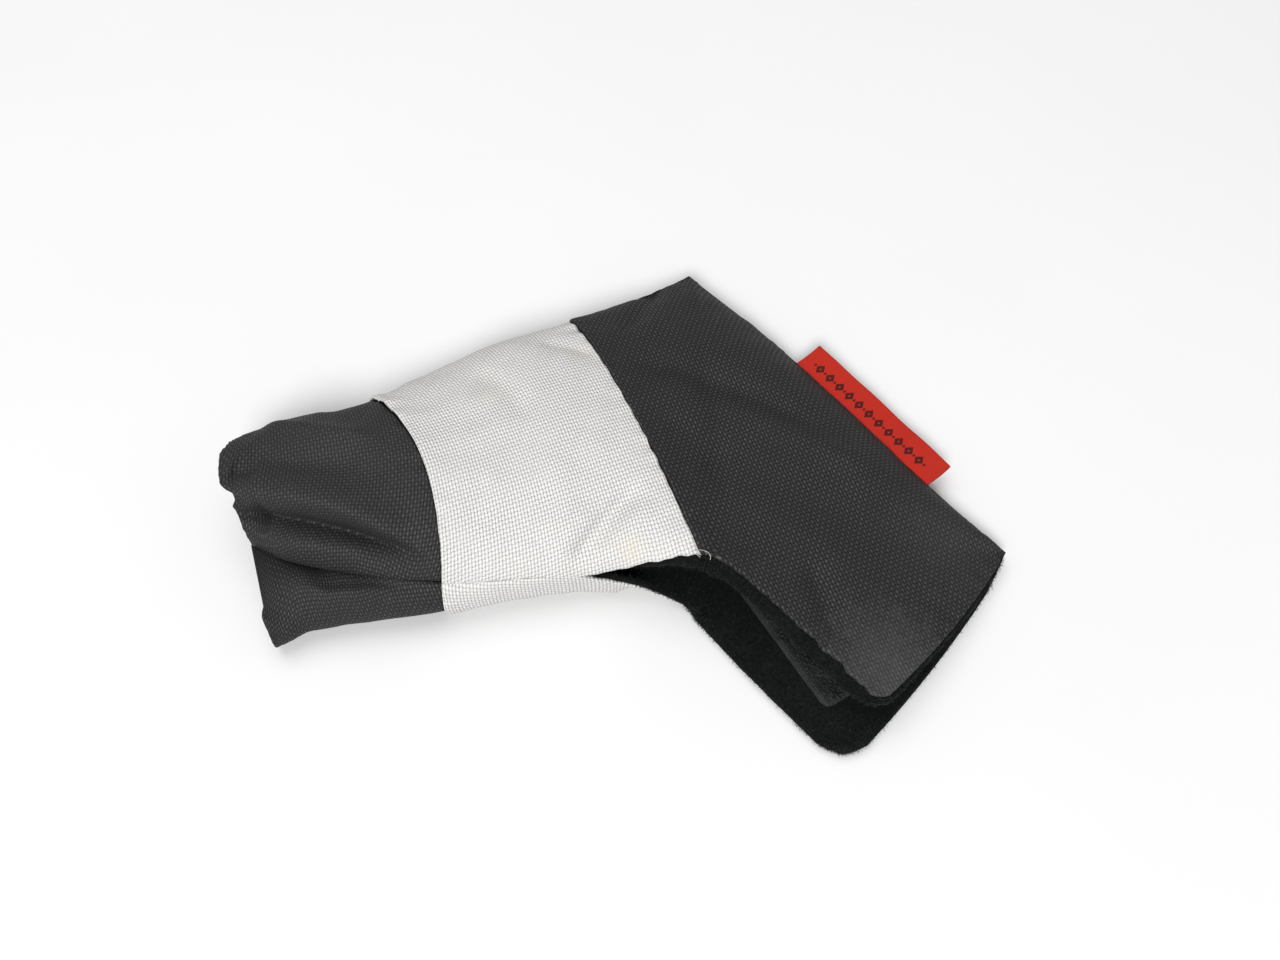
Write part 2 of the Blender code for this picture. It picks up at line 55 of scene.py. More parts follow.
# The cover's sections, in millimetres: the near edge of the front and of the back, the far seam, how far
# the section bows towards the toe, how far the front swells and the back bulges, and the bulge's lean.
STATIONS = [
    ((-106, -24.5, 13.5), (-106, -24.5, 13.5), (-117.5, 9, 15), (-2, 15, 29, 0)),
    ((-80, -31.5, 16), (-80, -31.5, 16), (-96, 19.8, 14), (3, 15, 14, -2)),
    ((-47.7, -35.5, 17), (-47.7, -35.5, 17), (-76.1, 26, 14), (7, 15, 5.5, -3)),
    ((-9.8, -34.2, 15), (-9.8, -34.2, 15), (-42, 45, 14), (5, 16, 0.5, 0)),
    ((25.4, -31.3, 24.5), (20, -36.2, 1.4), (-14.7, 57, 14), (1.5, 9, 0, 0)),
    ((31, -33.2, 23.3), (24.8, -40.6, 0), (12.8, 71.5, 12), (0, 8, 0, 0)),
    ((37, -36.6, 22), (29.5, -46, 0), (24.7, 81.4, 8), (0, 8, 0, 0)),
    ((49.6, -47.6, 19.3), (42, -60.5, 0), (59, 46, 7.5), (0, 8, 0, 0)),
    ((64, -61.6, 16.1), (55.5, -75.2, 0), (97, 0.8, 6), (0.6, 5, 0, 0)),
    ((73.7, -72.1, 14), (64.3, -85, 0), (117.4, -21.4, 5), (2.2, 1, 0, 0)),
]
CENTRE = np.array((0.09, -0.13, 0.0))
MOUTH, CUFF_END, SLIT_START, BAND_END, HEEL, TOE = 0, 2, 3, 4, 6, 9
NEAR_TURN = 0.34
FAR_TURN = 0.28
NEAR_SHARE = 0.2
FAR_SHARE = 0.22
UNDER_TURN = 8.0
SOLE_TURN = 14.0
FLAT_EDGE = 3.0
TUBE_EDGE = 11.0
SLIT_PEAK = 2.6
PILLOW_PEAK = 6.75
TOE_RADIUS = {"front": 5.0, "back": 10.0}

# Cloth, in millimetres
CANVAS = 0.9
LINING_GAP = 0.3
LINING = 1.8
LINING_INNER = CANVAS + LINING_GAP + LINING
WEDGE_SHARE = 0.4
SEAM_DEPTH = 1.05
EDGE_ROLL = 0.9
GROOVE_DEPTH, GROOVE_WIDTH = 0.35, 1.2
PUCKER_HEIGHT, PUCKER_PITCH, PUCKER_REACH = 0.3, 4.2, 3.5
# What the cloth and its fibres keep above the floor
LOWEST = {"canvas": 0.05, "canvas_inside": 0.35, "fleece": 0.95, "fibre": 0.03}
# Radius of each thread and the length of one turn of its strands
THREADS = {"seam": (0.3, 1.6), "tape": (0.17, 0.9), "hem": (0.22, 1.1), "loose": (0.12, 0.7)}
# Rows of each panel from cuff to head, and columns across, of the meshes
ROWS = {"front": (100, 96, 190), "back": (80, 76, 130)}
COLUMNS = {"front": 150, "back": 130, "fleece": 100}
FLEECE_ROWS = {"front": (110, 150), "back": (230,)}
END_SPACING, FLEECE_SPACING = 0.72, 0.5
# How far each lining stops short of the far seam
FLEECE_SHORT = {"neck": 1.5, "head": 2.2, "back": 1.8}
FLEECE_START = MOUTH + 0.16

# Ridges (+) and valleys (-) pressed into the cloth: height, width on the left and on the right of the
# line they follow in plan
FRONT_FOLDS = [
    (-1.6, 5, 5, ((-90, 21), (-79, 25.5), (-64, 31))),
    (1.8, 3, 4, ((-106, 12), (-92, 9), (-80, 6), (-66, 4))),
    (-1.7, 5, 6.5, ((-108, 0), (-97, -4), (-84, -4.5), (-66, -6))),
    (-2, 4.5, 4, ((-110, -8), (-101, -8))),
    (4.6, 7, 2.4, ((-114, -12.4), (-93.4, -15.8), (-79.8, -18.5), (-71.3, -21.5), (-56, -29))),
    (-5.6, 1.8, 3.6, ((-114, -19), (-98.4, -20.3), (-87.3, -22.3), (-76, -25), (-62, -29.5), (-50, -34))),
    (2.2, 2.2, 2.4, ((-98, -25), (-84, -27.6), (-66, -31))),
    (-2.4, 1.3, 2.4, ((-100.3, -16.5), (-100.5, -20), (-101, -25))),
    (-2, 2, 4, ((-11.5, -33), (-7.4, -28), (-3.2, -22.6), (1.9, -16.9), (9, -9.5))),
    (1, 3, 4, ((-4, -33), (1.5, -26.5), (7, -21), (13, -14))),
    (0.9, 4, 3, ((-17, -31), (-10, -23), (-5, -16))),
    (-0.7, 2.6, 2.6, ((-24, 43), (-12, 40), (-3, 35))),
    (-2.1, 6, 7, ((3, 36), (19, 33.3), (38.9, 27), (56.7, 17), (78, 9))),
    (1.5, 6, 5, ((34, 19), (52, 14), (68, 6), (82, -5))),
    (0.9, 7, 7, ((28, -11), (45, -16), (62, -26), (80, -42))),
    (-1.6, 5, 4, ((57, -30), (61, -44), (64, -57))),
    (-1.6, 3, 3.6, ((15, 74), (8, 59), (2, 45))),
    (-0.9, 4, 5, ((-44, 32), (-32, 22), (-22, 6))),
    (0.8, 5, 5, ((-38, -12), (-22, -9), (-8, -2))),
    (-0.8, 6, 6, ((14, 20), (26, 4), (34, -8))),
]
BACK_FOLDS = [
    (-1.4, 5, 5, ((-90, 21), (-79, 25.5), (-64, 31))),
    (1.7, 1.6, 3, ((-103, -23), (-96, -31), (-87, -38.5))),
    (3, 2.4, 3.4, ((-103, -31), (-92, -36), (-80, -40), (-60, -38))),
    (-1.8, 1.5, 1.8, ((-100, -28), (-90, -31), (-78, -34))),
    (-0.5, 2, 3.5, ((-104, -42), (-92, -46), (-82, -50))),
    (-1, 2, 2, ((-74, -33), (-60, -37), (-50, -38))),
    (0.8, 5, 5, ((-90, 0), (-60, 4), (-30, 6))),
    (0.9, 6, 6, ((-20, -10), (10, 10), (30, 40))),
    (0.7, 6, 6, ((40, -40), (60, -10), (70, 20))),
]
# Uneven cloth between them: height, pitch and seed of its waves, and of the mouth edge's
CLOTH_WAVES = ((0.24, 34, 3), (0.12, 11, 5))
MOUTH_WAVES = ((0.35, 9, 11),)
# The side seam is pinched in where the mouth closes: depth and how far it runs
PINCH = (2.0, 8.0)
PINCH_WAY = (0.25, 0.93, -0.27)
SEAM_FILL = 1.5
# Tucks of the mouth's edge: place across the mouth, depth and width
MOUTH_TUCKS = ((-15.5, 2.6, 2.2), (-38.0, 0.9, 3.0), (9.0, 2.4, 13.0))

# Directions of the threads, and how far the fleece's rim stands out and curls down
GRAIN_BAND = math.radians(22)
GRAIN_HEAD = math.radians(23.5)
GRAIN_CUFF = math.radians(9)
RIM_FRONT = 4.4
RIM_TURN = math.radians(62)
RIM_TOE_FRONT = 1.6
RIM_BACK = 1.5
RIM_TURN_BACK = 0.15
RIM_TOE_BACK = 1.4

# Rim of the fleece that carries nap, and its fibres
RIM_COLUMNS = {"neck": 14, "head": 14, "back": 30}
NAP_LENGTH, NAP_RADIUS = 0.9, 0.065
PILE_LENGTH, PILE_RADIUS, PILE_COUNT = 0.55, 0.035, 2600

# Trims: length and width of the tapes with the way each faces, the radius of their corners, the label's
# length, its reach out of the seam, a layer's thickness and half its bend's height, and stitch lengths
TAPES = {"loop_tape": (45.0, 14.0, (0, 0, 1)), "hook_tape": (30.0, 14.0, (0, 0, -1))}
TAPE_CORNER = 3.0
LABEL_LENGTH, LABEL_REACH, LABEL_LAYER, LABEL_BEND = 58.5, 10.2, 0.34, 0.42
TAPE_STITCH, HEM_STITCH = 2.6, 3.0
# The label's woven row: pitch of its lozenges, its middle above the seam, half its height and its two ends
MOTIF_PITCH, MOTIF_MIDDLE, MOTIF_HALF, MOTIF_ENDS = 4.4, 4.3, 2.1, (3.55, 53.6)

# Stage, in metres and watts: place, size and power of each lamp
FLOOR_HALF = 3.0
ROOM_LIGHT = 0.37
LAMPS = {"key": ((-0.25, -1.75, 1.75), (1.0, 0.8), 57.0), "top": ((-0.5, 0.6, 2.2), (2.0, 2.0), 27.0)}
CAMERA_PLACE = (0.00824, -0.1985, 0.3551)
CAMERA_TILT = math.radians(30)
CAMERA_LENS = 36.9


# Skin of the cover

def mix(a, b, share):
    return a + (b - a) * share


def smooth(x):
    x = np.clip(x, 0, 1)
    return x * x * (3 - 2 * x)


def unit(vectors):
    return vectors / np.maximum(np.linalg.norm(vectors, axis=-1, keepdims=True), 1e-9)


def lengths_along(path):
    """How far each point of a path is from its start, measured along it."""
    return np.concatenate([[0], np.cumsum(np.linalg.norm(np.diff(path, axis=0), axis=1))])


def at_lengths(places, lengths, values):
    """The columns of values, which are known at some lengths, at other places."""
    return np.stack([np.interp(places, lengths, column) for column in values.T], axis=-1)


def along(values, s, corners=()):
    """Values at station numbers s on a smooth curve through one value a station, kinked at corners."""
    values = np.asarray(values, float)
    shape = (len(s),) + (1,) * (values.ndim - 1)
    low = np.minimum(s.astype(int), len(values) - 2)
    share = (s - low).reshape(shape)
    b, c = values[low], values[low + 1]
    first = ((low == 0) | np.isin(low, corners)).reshape(shape)
    last = ((low + 1 == len(values) - 1) | np.isin(low + 1, corners)).reshape(shape)
    a = np.where(first, b * 2 - c, values[np.maximum(low - 1, 0)])
    d = np.where(last, c * 2 - b, values[np.minimum(low + 2, len(values) - 1)])
    return 0.5 * (b * 2 + (c - a) * share + (a * 2 - b * 5 + c * 4 - d) * share**2
                  + (b * 3 - a - c * 3 + d) * share**3)


def pocket_share(s):
    return smooth((s - SLIT_START - 0.5) / (HEEL - SLIT_START - 0.5))


def opening_share(s):
    return np.clip((s - SLIT_START) / (BAND_END - SLIT_START), 0, 1)


NEAR = {"front": [np.array(row[0]) + CENTRE for row in STATIONS],
        "back": [np.array(row[1]) + CENTRE for row in STATIONS]}
FAR = [np.array(row[2]) + CENTRE for row in STATIONS]
SWELL = [np.array(row[3]) for row in STATIONS]


def cross_lines(s, side):
    """Both ends of each section, the way across it and the way towards the toe in plan, and its width."""
    near = along(NEAR[side], s)
    far = along(FAR, s, corners=(HEEL,))
    chord = (far - near)[:, :2]
    width = np.linalg.norm(chord, axis=1, keepdims=True)
    out = chord / width
    ahead = np.stack([out[:, 1], -out[:, 0]], axis=1)
    return near, far, out, ahead, width


def cross_2d(a, b):
    return a[..., 0] * b[..., 1] - a[..., 1] * b[..., 0]


def front_skin(s, t):
    """The front: a tube along the neck that turns into a panel folded up along the flap's fold."""
    near, far, _, ahead, _ = cross_lines(s, "front")
    bow, crown = along(SWELL, s)[:, 0:1], along(SWELL, s)[:, 1:2]
    pocket, opening = pocket_share(s)[:, None], opening_share(s)[:, None]
    neck = mix((1 - np.cos(np.pi * t)) / 2, np.sin(np.pi / 2 * t), opening)
    across = mix(neck, t, pocket)
    start, end = NEAR["front"][BAND_END], FAR[TOE]
    fold = (end - start)[:2]
    chord = (far - near)[:, :2]
    share = np.clip(cross_2d(start[:2] - near[:, :2], fold) / cross_2d(chord, fold), 0, 1)
    share = np.where(s <= BAND_END, 0.0, share)[:, None]
    at_fold = near[:, :2] + chord * share
    run = np.clip(((at_fold - start[:2]) @ fold) / (fold @ fold), 0, 1)[:, None]
    fold_height = np.where(s[:, None] <= BAND_END, near[:, 2:], start[2] + (end[2] - start[2]) * run)
    beyond = np.clip((across - share) / np.maximum(1 - share, 1e-6), 0, 1)
    before = near[:, 2:] + (fold_height - near[:, 2:]) * across / np.maximum(share, 1e-6)
    height = np.where((across <= share) & (share > 0), before, mix(fold_height, far[:, 2:], beyond))
    fall = np.sqrt(np.maximum(1 - across, 0))
    tube = crown * mix(2 * np.sqrt(across) * fall, SLIT_PEAK * across * fall, opening)
    pillow = crown * PILLOW_PEAK * beyond**2 * (1 - beyond)
    height = height + mix(tube, pillow, pocket)
    bend = bow * 4 * across * (1 - across)
    plan = near[:, None, :2] + chord[:, None, :] * across[..., None] + ahead[:, None, :] * bend[..., None]
    return np.concatenate([plan, height[..., None]], axis=2)


def near_roll(s, t, near, width):
    """The back's near edge: distance across and height, lying flat or rolled up to the front's edge."""
    belly = along(SWELL, s)[:, 2:3]
    rise = near[:, 2:]
    turn = np.arccos(np.clip(1 - 2 * t / NEAR_TURN, -1, 1))
    squareness = np.where(belly > 0, np.minimum(1.0, 0.5 * rise / np.maximum(belly, 1e-6)), 1.0)
    squareness = np.maximum(squareness, 0.05)
    lift = np.maximum(np.sin(turn), 0) ** squareness
    rolled = np.where(turn < np.pi / 2, -belly * lift, (belly + UNDER_TURN) * (1 - lift) - belly)
    lying = NEAR_SHARE * width * t / NEAR_TURN
    tubular = np.clip((rise - FLAT_EDGE) / (TUBE_EDGE - FLAT_EDGE), 0, 1)
    return mix(lying, rolled, tubular), np.maximum(rise, 0) * (1 + np.cos(turn)) / 2


def far_turn(s, t, far, width):
    """The back's far edge: distance across and height, turned up to the far seam."""
    turn = (1 - t) / FAR_TURN
    curl = 1 - np.cos(np.pi / 2 * turn)
    reach = mix(FAR_SHARE * width * curl, SOLE_TURN * turn, pocket_share(s)[:, None])
    return width - reach, far[:, 2:] * (1 - np.sin(np.pi / 2 * turn))


def back_skin(s, t):
    near, far, out, ahead, width = cross_lines(s, "back")
    swell = along(SWELL, s)
    bow, belly, flare = swell[:, 0:1], swell[:, 2:3], swell[:, 3:4]
    t = np.broadcast_to(t, (len(s), t.shape[-1]))
    near_across, near_height = near_roll(s, np.minimum(t, NEAR_TURN), near, width)
    far_across, far_height = far_turn(s, np.maximum(t, 1 - FAR_TURN), far, width)
    low = near_roll(s, np.full((len(s), 1), NEAR_TURN), near, width)[0]
    high = far_turn(s, np.full((len(s), 1), 1 - FAR_TURN), far, width)[0]
    between = mix(low, high, (t - NEAR_TURN) / (1 - FAR_TURN - NEAR_TURN))
    across = np.where(t <= NEAR_TURN, near_across, np.where(t > 1 - FAR_TURN, far_across, between))
    height = np.where(t <= NEAR_TURN, near_height, np.where(t > 1 - FAR_TURN, far_height, 0.0))
    share = np.clip(across / width, 0, 1)
    rolled = np.where(across < 0, np.maximum(-across / np.where(np.abs(belly) < 1e-6, 1, belly), 0), 0)
    bend = bow * 4 * share * (1 - share) + flare * rolled
    plan = near[:, None, :2] + out[:, None, :] * across[..., None] + ahead[:, None, :] * bend[..., None]
    return np.concatenate([plan, height[..., None]], axis=2)


def round_toe(points, s, side):
    """Maps the square corner at the toe's near end on to a quarter disc."""
    corner = NEAR[side][TOE][:2]
    radius = TOE_RADIUS[side]
    toe = FAR[TOE][:2] - corner
    edge = NEAR[side][TOE - 1][:2] - corner
    toe, edge = toe / np.linalg.norm(toe), edge / np.linalg.norm(edge)
    offset = points[..., :2] - corner
    a = cross_2d(offset, edge) / cross_2d(toe, edge)
    b = cross_2d(offset, toe) / cross_2d(edge, toe)
    inside = (a < radius) & (b < radius) & (s[:, None] > HEEL)
    from_a = np.clip(radius - a, 0, radius * 1.4)
    from_b = np.clip(radius - b, 0, radius * 1.4)
    new_a = radius - from_a * np.sqrt(np.maximum(1 - from_b**2 / (2 * radius**2), 0))
    new_b = radius - from_b * np.sqrt(np.maximum(1 - from_a**2 / (2 * radius**2), 0))
    moved = toe * (new_a - a)[..., None] + edge * (new_b - b)[..., None]
    out = points.copy()
    out[..., :2] += np.where(inside[..., None], moved, 0)
    return out


def skin(side, s, t):
    raw = front_skin(s, t[None, :]) if side == "front" else back_skin(s, t[None, :])
    return round_toe(raw, s, side)


# Shape of the cloth

def waves(xy, scale, seed, count=7):
    """Smooth irregular height between about -1 and 1, the same each time."""
    random = np.random.default_rng(seed)
    total = np.zeros(xy.shape[:-1])
    for _ in range(count):
        angle, phase = random.uniform(0, 2 * np.pi, 2)
        pitch = scale * random.uniform(0.7, 1.5)
        turn = xy[..., 0] * math.cos(angle) + xy[..., 1] * math.sin(angle)
        total += np.sin(2 * np.pi * turn / pitch + phase)
    return total / math.sqrt(count)


def summed(listed, xy):
    """Sum of waves, each with its height, pitch and seed."""
    return sum(height * waves(xy, pitch, seed) for height, pitch, seed in listed)


def near_line(xy, path):
    """Signed distance from a bent line, plus on its left, and the share of its length nearest by."""
    path = np.asarray(path, float)
    starts = lengths_along(path)
    best = np.full(xy.shape[:-1], np.inf)
    place = np.zeros(xy.shape[:-1])
    hand = np.ones(xy.shape[:-1])
    for start, point, step in zip(starts, path, np.diff(path, axis=0)):
        length = np.linalg.norm(step)
        share = np.clip((xy - point) @ step / length**2, 0, 1)
        offset = xy - point - share[..., None] * step
        away = np.linalg.norm(offset, axis=-1)
        closer = away < best
        best = np.where(closer, away, best)
        hand = np.where(closer, np.sign(step[0] * offset[..., 1] - step[1] * offset[..., 0]), hand)
        place = np.where(closer, (start + share * length) / starts[-1], place)
    return best * hand, place


def folds(xy, listed):
    """Height of the listed ridges and valleys, which fade out at both ends."""
    total = np.zeros(xy.shape[:-1])
    for height, left, right, path in listed:
        away, place = near_line(xy, path)
        width = np.where(away > 0, left, right)
        fade = smooth(place / 0.25 + 0.2) * smooth((1 - place) / 0.3 + 0.05)
        total += height * np.exp(-np.abs(away / width) ** 1.7) * fade
    return total


def keep_above(points, height):
    points[..., 2] = np.maximum(points[..., 2], height)


def spaced(count, ends):
    """Shares from 0 to 1, closer together at both ends."""
    u = np.linspace(0, 1, count)
    return u - ends * np.sin(2 * np.pi * u) / (2 * np.pi)


def normals(points, side):
    ds = np.gradient(points, axis=0)
    dt = np.gradient(points, axis=1)
    n = unit(np.cross(ds, dt))
    return n if side == "front" else -n


def run_length(points, axis, backwards=False):
    """Distance of each point from the first or last line of the grid, measured along the grid."""
    step = np.linalg.norm(np.diff(points, axis=axis), axis=2)
    pad = [(1, 0), (0, 0)] if axis == 0 else [(0, 0), (1, 0)]
    total = np.cumsum(np.pad(step, pad), axis=axis)
    if backwards:
        end = total[-1:, :] if axis == 0 else total[:, -1:]
        return end - total
    return total


def relax(points, s, turns):
    """Softens the crease along the flap's fold, leaving the grid's border alone."""
    height = points[..., 2].copy()
    amount = smooth((s - SLIT_START) / 0.8)[1:-1, None] * 0.5
    for _ in range(turns):
        middle = (height[:-2, 1:-1] + height[2:, 1:-1] + height[1:-1, :-2] + height[1:-1, 2:]) / 4
        height[1:-1, 1:-1] += amount * (middle - height[1:-1, 1:-1])
    points[..., 2] = height
    return points


def eased(points, s, reach=7.0, step=0.5):
    """Softens the near edge where the slit turns from the neck to the head."""
    kernel = np.hanning(int(reach / step) * 2 + 1)
    kernel /= kernel.sum()
    amount = smooth((s - 3.3) / 0.5) * (1 - smooth((s - 4.9) / 0.9))
    out = points.copy()
    columns = points.shape[1] // 2
    for column in range(columns):
        line = points[:, column]
        total = lengths_along(line)
        at = np.arange(0, total[-1], step)
        share = amount * (1 - smooth(column / columns))
        for k in range(3):
            even = np.pad(np.interp(at, total, line[:, k]), len(kernel) // 2, mode="edge")
            soft = np.interp(total, at, np.convolve(even, kernel, mode="valid"))
            out[:, column, k] = mix(line[:, k], soft, share)
    return out


def panel_rows(breaks, counts, ends=0.7):
    """Section numbers from seam to seam, closer together at the seams."""
    rows = [start + (end - start) * spaced(count, ends)
            for start, end, count in zip(breaks[:-1], breaks[1:], counts)]
    return np.unique(np.round(np.concatenate(rows), 9))


class Patch:
    """A grid of points on one side of the cover, with what is measured along it."""

    def __init__(self, side, s, points, normal):
        self.side, self.s, self.points, self.normals = side, s, points, normal
        self.first = run_length(points, 0)
        self.last = run_length(points, 0, True)
        self.near = run_length(points, 1)
        self.far = run_length(points, 1, True)
        middle = points.shape[1] // 2
        chord = unit(points[:, -1, :2] - points[:, 0, :2])
        offset = self.near - self.near[:, middle:middle + 1]
        self.unrolled = points[:, middle, None, :2] + chord[:, None, :] * offset[..., None]

    def part(self, start, end):
        keep = (self.s > start - 1e-6) & (self.s < end + 1e-6)
        return Patch(self.side, self.s[keep], self.points[keep], self.normals[keep])


def whole_side(side, s, columns):
    """One whole side of the cover, with its folds pressed in and the mouth drawn together."""
    points = eased(skin(side, s, spaced(columns, END_SPACING)), s)
    if side == "front":
        points = relax(points, s, 40)
    n = normals(points, side)
    xy = points[..., :2]
    lift = folds(xy, FRONT_FOLDS if side == "front" else BACK_FOLDS)
    lift += summed(CLOTH_WAVES, xy)
    first, near = run_length(points, 0), run_length(points, 1)
    pulled = summed(MOUTH_WAVES, xy)
    for place, depth, width in MOUTH_TUCKS:
        pulled += depth * np.exp(-((xy[..., 1] - place) / width) ** 2)
    pulled *= np.exp(-first / 6)
    calm = smooth(points[..., 2] / 5 + 0.15) if side == "back" else 1.0
    seam_calm = 1 - np.exp(-near / 2.5) * (1 - opening_share(s))[:, None]
    points = points + n * (lift * calm * seam_calm)[..., None]
    points[..., 0] += pulled
    depth, reach = PINCH
    pinch = depth * np.exp(-first / reach) * np.exp(-((near / 4.5) ** 1.3))
    points = points + pinch[..., None] * np.array(PINCH_WAY)
    filled = SEAM_FILL * smooth(first / 14) * np.exp(-((near / 4.0) ** 1.5))
    filled *= (1 - smooth((s - 2.2) / 1.0))[:, None]
    points = points - filled[..., None] * np.array(PINCH_WAY)
    if side == "back":
        keep_above(points, LOWEST["canvas"])
    return Patch(side, s, points, normals(points, side))


def border_roll(distance, radius):
    """How far a rounded edge has sunk at a distance from it."""
    x = np.clip(1 - distance / radius, 0, 1)
    return radius * (1 - np.sqrt(np.maximum(1 - x**2, 0)))


def grid_quads(index, flip=False):
    """Faces between the neighbours of a grid of point numbers."""
    a, b, c, d = index[:-1, :-1], index[1:, :-1], index[1:, 1:], index[:-1, 1:]
    return np.stack((a, d, c, b) if flip else (a, b, c, d), axis=-1).reshape(-1, 4).tolist()


def space_tree(grids):
    """Both sides of the cover, ready for rays that measure the room between them."""
    points, faces = [], []
    for grid in grids:
        rows, columns = grid.points.shape[:2]
        faces += grid_quads(len(points) + np.arange(rows * columns).reshape(rows, columns))
        points += [tuple(p) for p in grid.points.reshape(-1, 3)]
    return BVHTree.FromPolygons(points, faces)


def blurred(values, turns):
    """Each value mixed with its four neighbours, a few times over."""
    for _ in range(turns):
        padded = np.pad(values, 1, mode="edge")
        values = (padded[:-2, 1:-1] + padded[2:, 1:-1] + padded[1:-1, :-2] + padded[1:-1, 2:]
                  + 2 * values) / 6
    return values


def room_factor(grid, tree):
    """Share of the full depth that the layers may take where front and back close in on each other."""
    rows, columns = grid.points.shape[:2]
    factor = np.ones((rows, columns))
    for i in range(rows):
        for j in range(columns):
            inward = Vector(-grid.normals[i, j])
            hit = tree.ray_cast(Vector(grid.points[i, j]) + inward * 0.3, inward, 12.0)[3]
            if hit is not None:
                factor[i, j] = min(1.0, WEDGE_SHARE * (hit + 0.3) / LINING_INNER)
    return np.clip(blurred(factor, 6), 0.06, 1.0)


# Meshes

def link(obj):
    bpy.context.scene.collection.objects.link(obj)
    return obj


def mesh_object(name, points_mm, faces, material):
    """A smooth mesh that carries its points' places at rest, for its material to follow when it bends."""
    places = np.asarray(points_mm) * MM
    data = bpy.data.meshes.new(name)
    data.from_pydata(places.tolist(), [], faces)
    data.polygons.foreach_set("use_smooth", [True] * len(data.polygons))
    rest = data.attributes.new("rest_place", "FLOAT_VECTOR", "POINT")
    rest.data.foreach_set("vector", places.astype(np.float32).ravel())
    data.materials.append(material)
    data.update()
    return link(bpy.data.objects.new(name, data))


def slab_faces(rows, columns, outward_up):
    """Faces of a closed sheet whose top and bottom grids follow each other in the point list."""
    index = np.arange(rows * columns).reshape(rows, columns)
    faces = grid_quads(index, not outward_up) + grid_quads(index + rows * columns, outward_up)
    ring = list(index[:, 0]) + list(index[-1, 1:]) + list(index[-2::-1, -1]) + list(index[0, -2:0:-1])
    for a, c in zip(ring, ring[1:] + ring[:1]):
        b, d = a + rows * columns, c + rows * columns
        faces.append([int(v) for v in ((a, b, d, c) if outward_up else (a, c, d, b))])
    return faces


def sheet_object(name, outer, inner, unrolled, angle, outward_up, material):
    """A closed sheet of cloth with its thread directions in the UV map named grain, in metres."""
    rows, columns = outer.shape[:2]
    points = np.concatenate([outer.reshape(-1, 3), inner.reshape(-1, 3)])
    obj = mesh_object(name, points, slab_faces(rows, columns, outward_up), material)
    c, s = math.cos(angle), math.sin(angle)
    flat = unrolled.reshape(-1, 2)
    grain = np.stack([flat[:, 0] * c + flat[:, 1] * s, -flat[:, 0] * s + flat[:, 1] * c], axis=1) * MM
    grain = np.concatenate([grain, grain])
    layer = obj.data.uv_layers.new(name="grain")
    corners = np.zeros(len(obj.data.loops), np.int32)
    obj.data.loops.foreach_get("vertex_index", corners)
    layer.data.foreach_set("uv", grain[corners].astype(np.float32).ravel())
    return obj


def seam_pucker(distance, run, seed, height=PUCKER_HEIGHT):
    """Ripples beside a seam, in a line along it."""
    ripple = waves(np.stack([run, run * 0.37], axis=-1), PUCKER_PITCH, seed, 4)
    return height * ripple * np.exp(-distance / PUCKER_REACH)


def canvas_panel(name, grid, factor, angle, material, proud_first, sunk_last):
    """An outer panel with its edges rolled under, standing proud or sunk at the seams across it."""
    n = grid.normals
    closed_near = ((1 - opening_share(grid.s)) ** 2)[:, None]
    open_near = 1 - closed_near
    lift = proud_first * np.exp(-(grid.first / 7) ** 1.5) - sunk_last * np.exp(-grid.last / 2.5)
    if grid.side == "back":
        lift *= mix(1.0, smooth(grid.near / 4), smooth(open_near * 3))
    inland = smooth(np.minimum(grid.near, grid.far) / 6)
    across_seams = seam_pucker(grid.last, grid.near, 21) + seam_pucker(grid.first, grid.near, 22)
    lift += across_seams * inland
    ends_calm = smooth(np.minimum(grid.first, grid.last) / 6)
    lift += seam_pucker(grid.far, grid.first, 23, 0.12) * ends_calm
    lift += seam_pucker(grid.near, grid.first, 24, 0.2) * ends_calm * open_near
    level = lift - GROOVE_DEPTH * np.exp(-grid.far / GROOVE_WIDTH)
    border = np.minimum(np.minimum(grid.first, grid.last), grid.far)
    edge_near = grid.near + closed_near * EDGE_ROLL * 0.8
    sunk = border_roll(np.minimum(border + 0.15, edge_near), EDGE_ROLL)
    depth = CANVAS * np.maximum(factor, 0.25)
    outward = unit(grid.points[:, 0, :] - grid.points[:, 2, :])
    wavy = 0.4 * waves(np.stack([grid.first, grid.first * 0.2], -1), 6, 31, 4)
    wavy *= open_near * np.exp(-grid.near / 2.5) * ends_calm
    sideways = outward[:, None, :] * wavy[..., None]
    outer, inner = (grid.points + n * (level - under)[..., None] + sideways
                    for under in (sunk, np.maximum(depth, sunk + 0.12)))
    if grid.side == "back":
        keep_above(outer, LOWEST["canvas"])
        keep_above(inner, LOWEST["canvas_inside"])
    return sheet_object(name, outer, inner, grid.unrolled, angle, grid.side == "front", material)


def border_ways(patch, blur=9.0, step=0.5):
    """Softened ways out of the sheet, and the ways it faces, along its near and its toe edge."""
    p = patch.points
    rows = len(p)
    border = np.concatenate([p[:, 0], p[-1, 1:]])
    facing = np.concatenate([patch.normals[:, 0], patch.normals[-1, 1:]])
    total = lengths_along(border)
    at = np.arange(0, total[-1], step)
    size = int(blur / step)
    kernel = np.hanning(size * 2 + 3)
    kernel /= kernel.sum()

    def softened(values):
        padded = np.pad(values, ((size + 1, size + 1), (0, 0)), mode="edge")
        return unit(np.stack([np.convolve(column, kernel, mode="valid") for column in padded.T], axis=1))

    line = at_lengths(at, total, border)
    face = softened(at_lengths(at, total, facing))
    way = softened(unit(np.cross(np.gradient(line, axis=0), face)))
    ways, faces = at_lengths(total, at, way), at_lengths(total, at, face)
    inner = rows * 3 // 4
    if ways[inner] @ (p[inner, 0] - p[inner, 3]) < 0:
        ways = -ways
    return ways[:rows], ways[rows - 1:], faces[:rows], faces[rows - 1:]


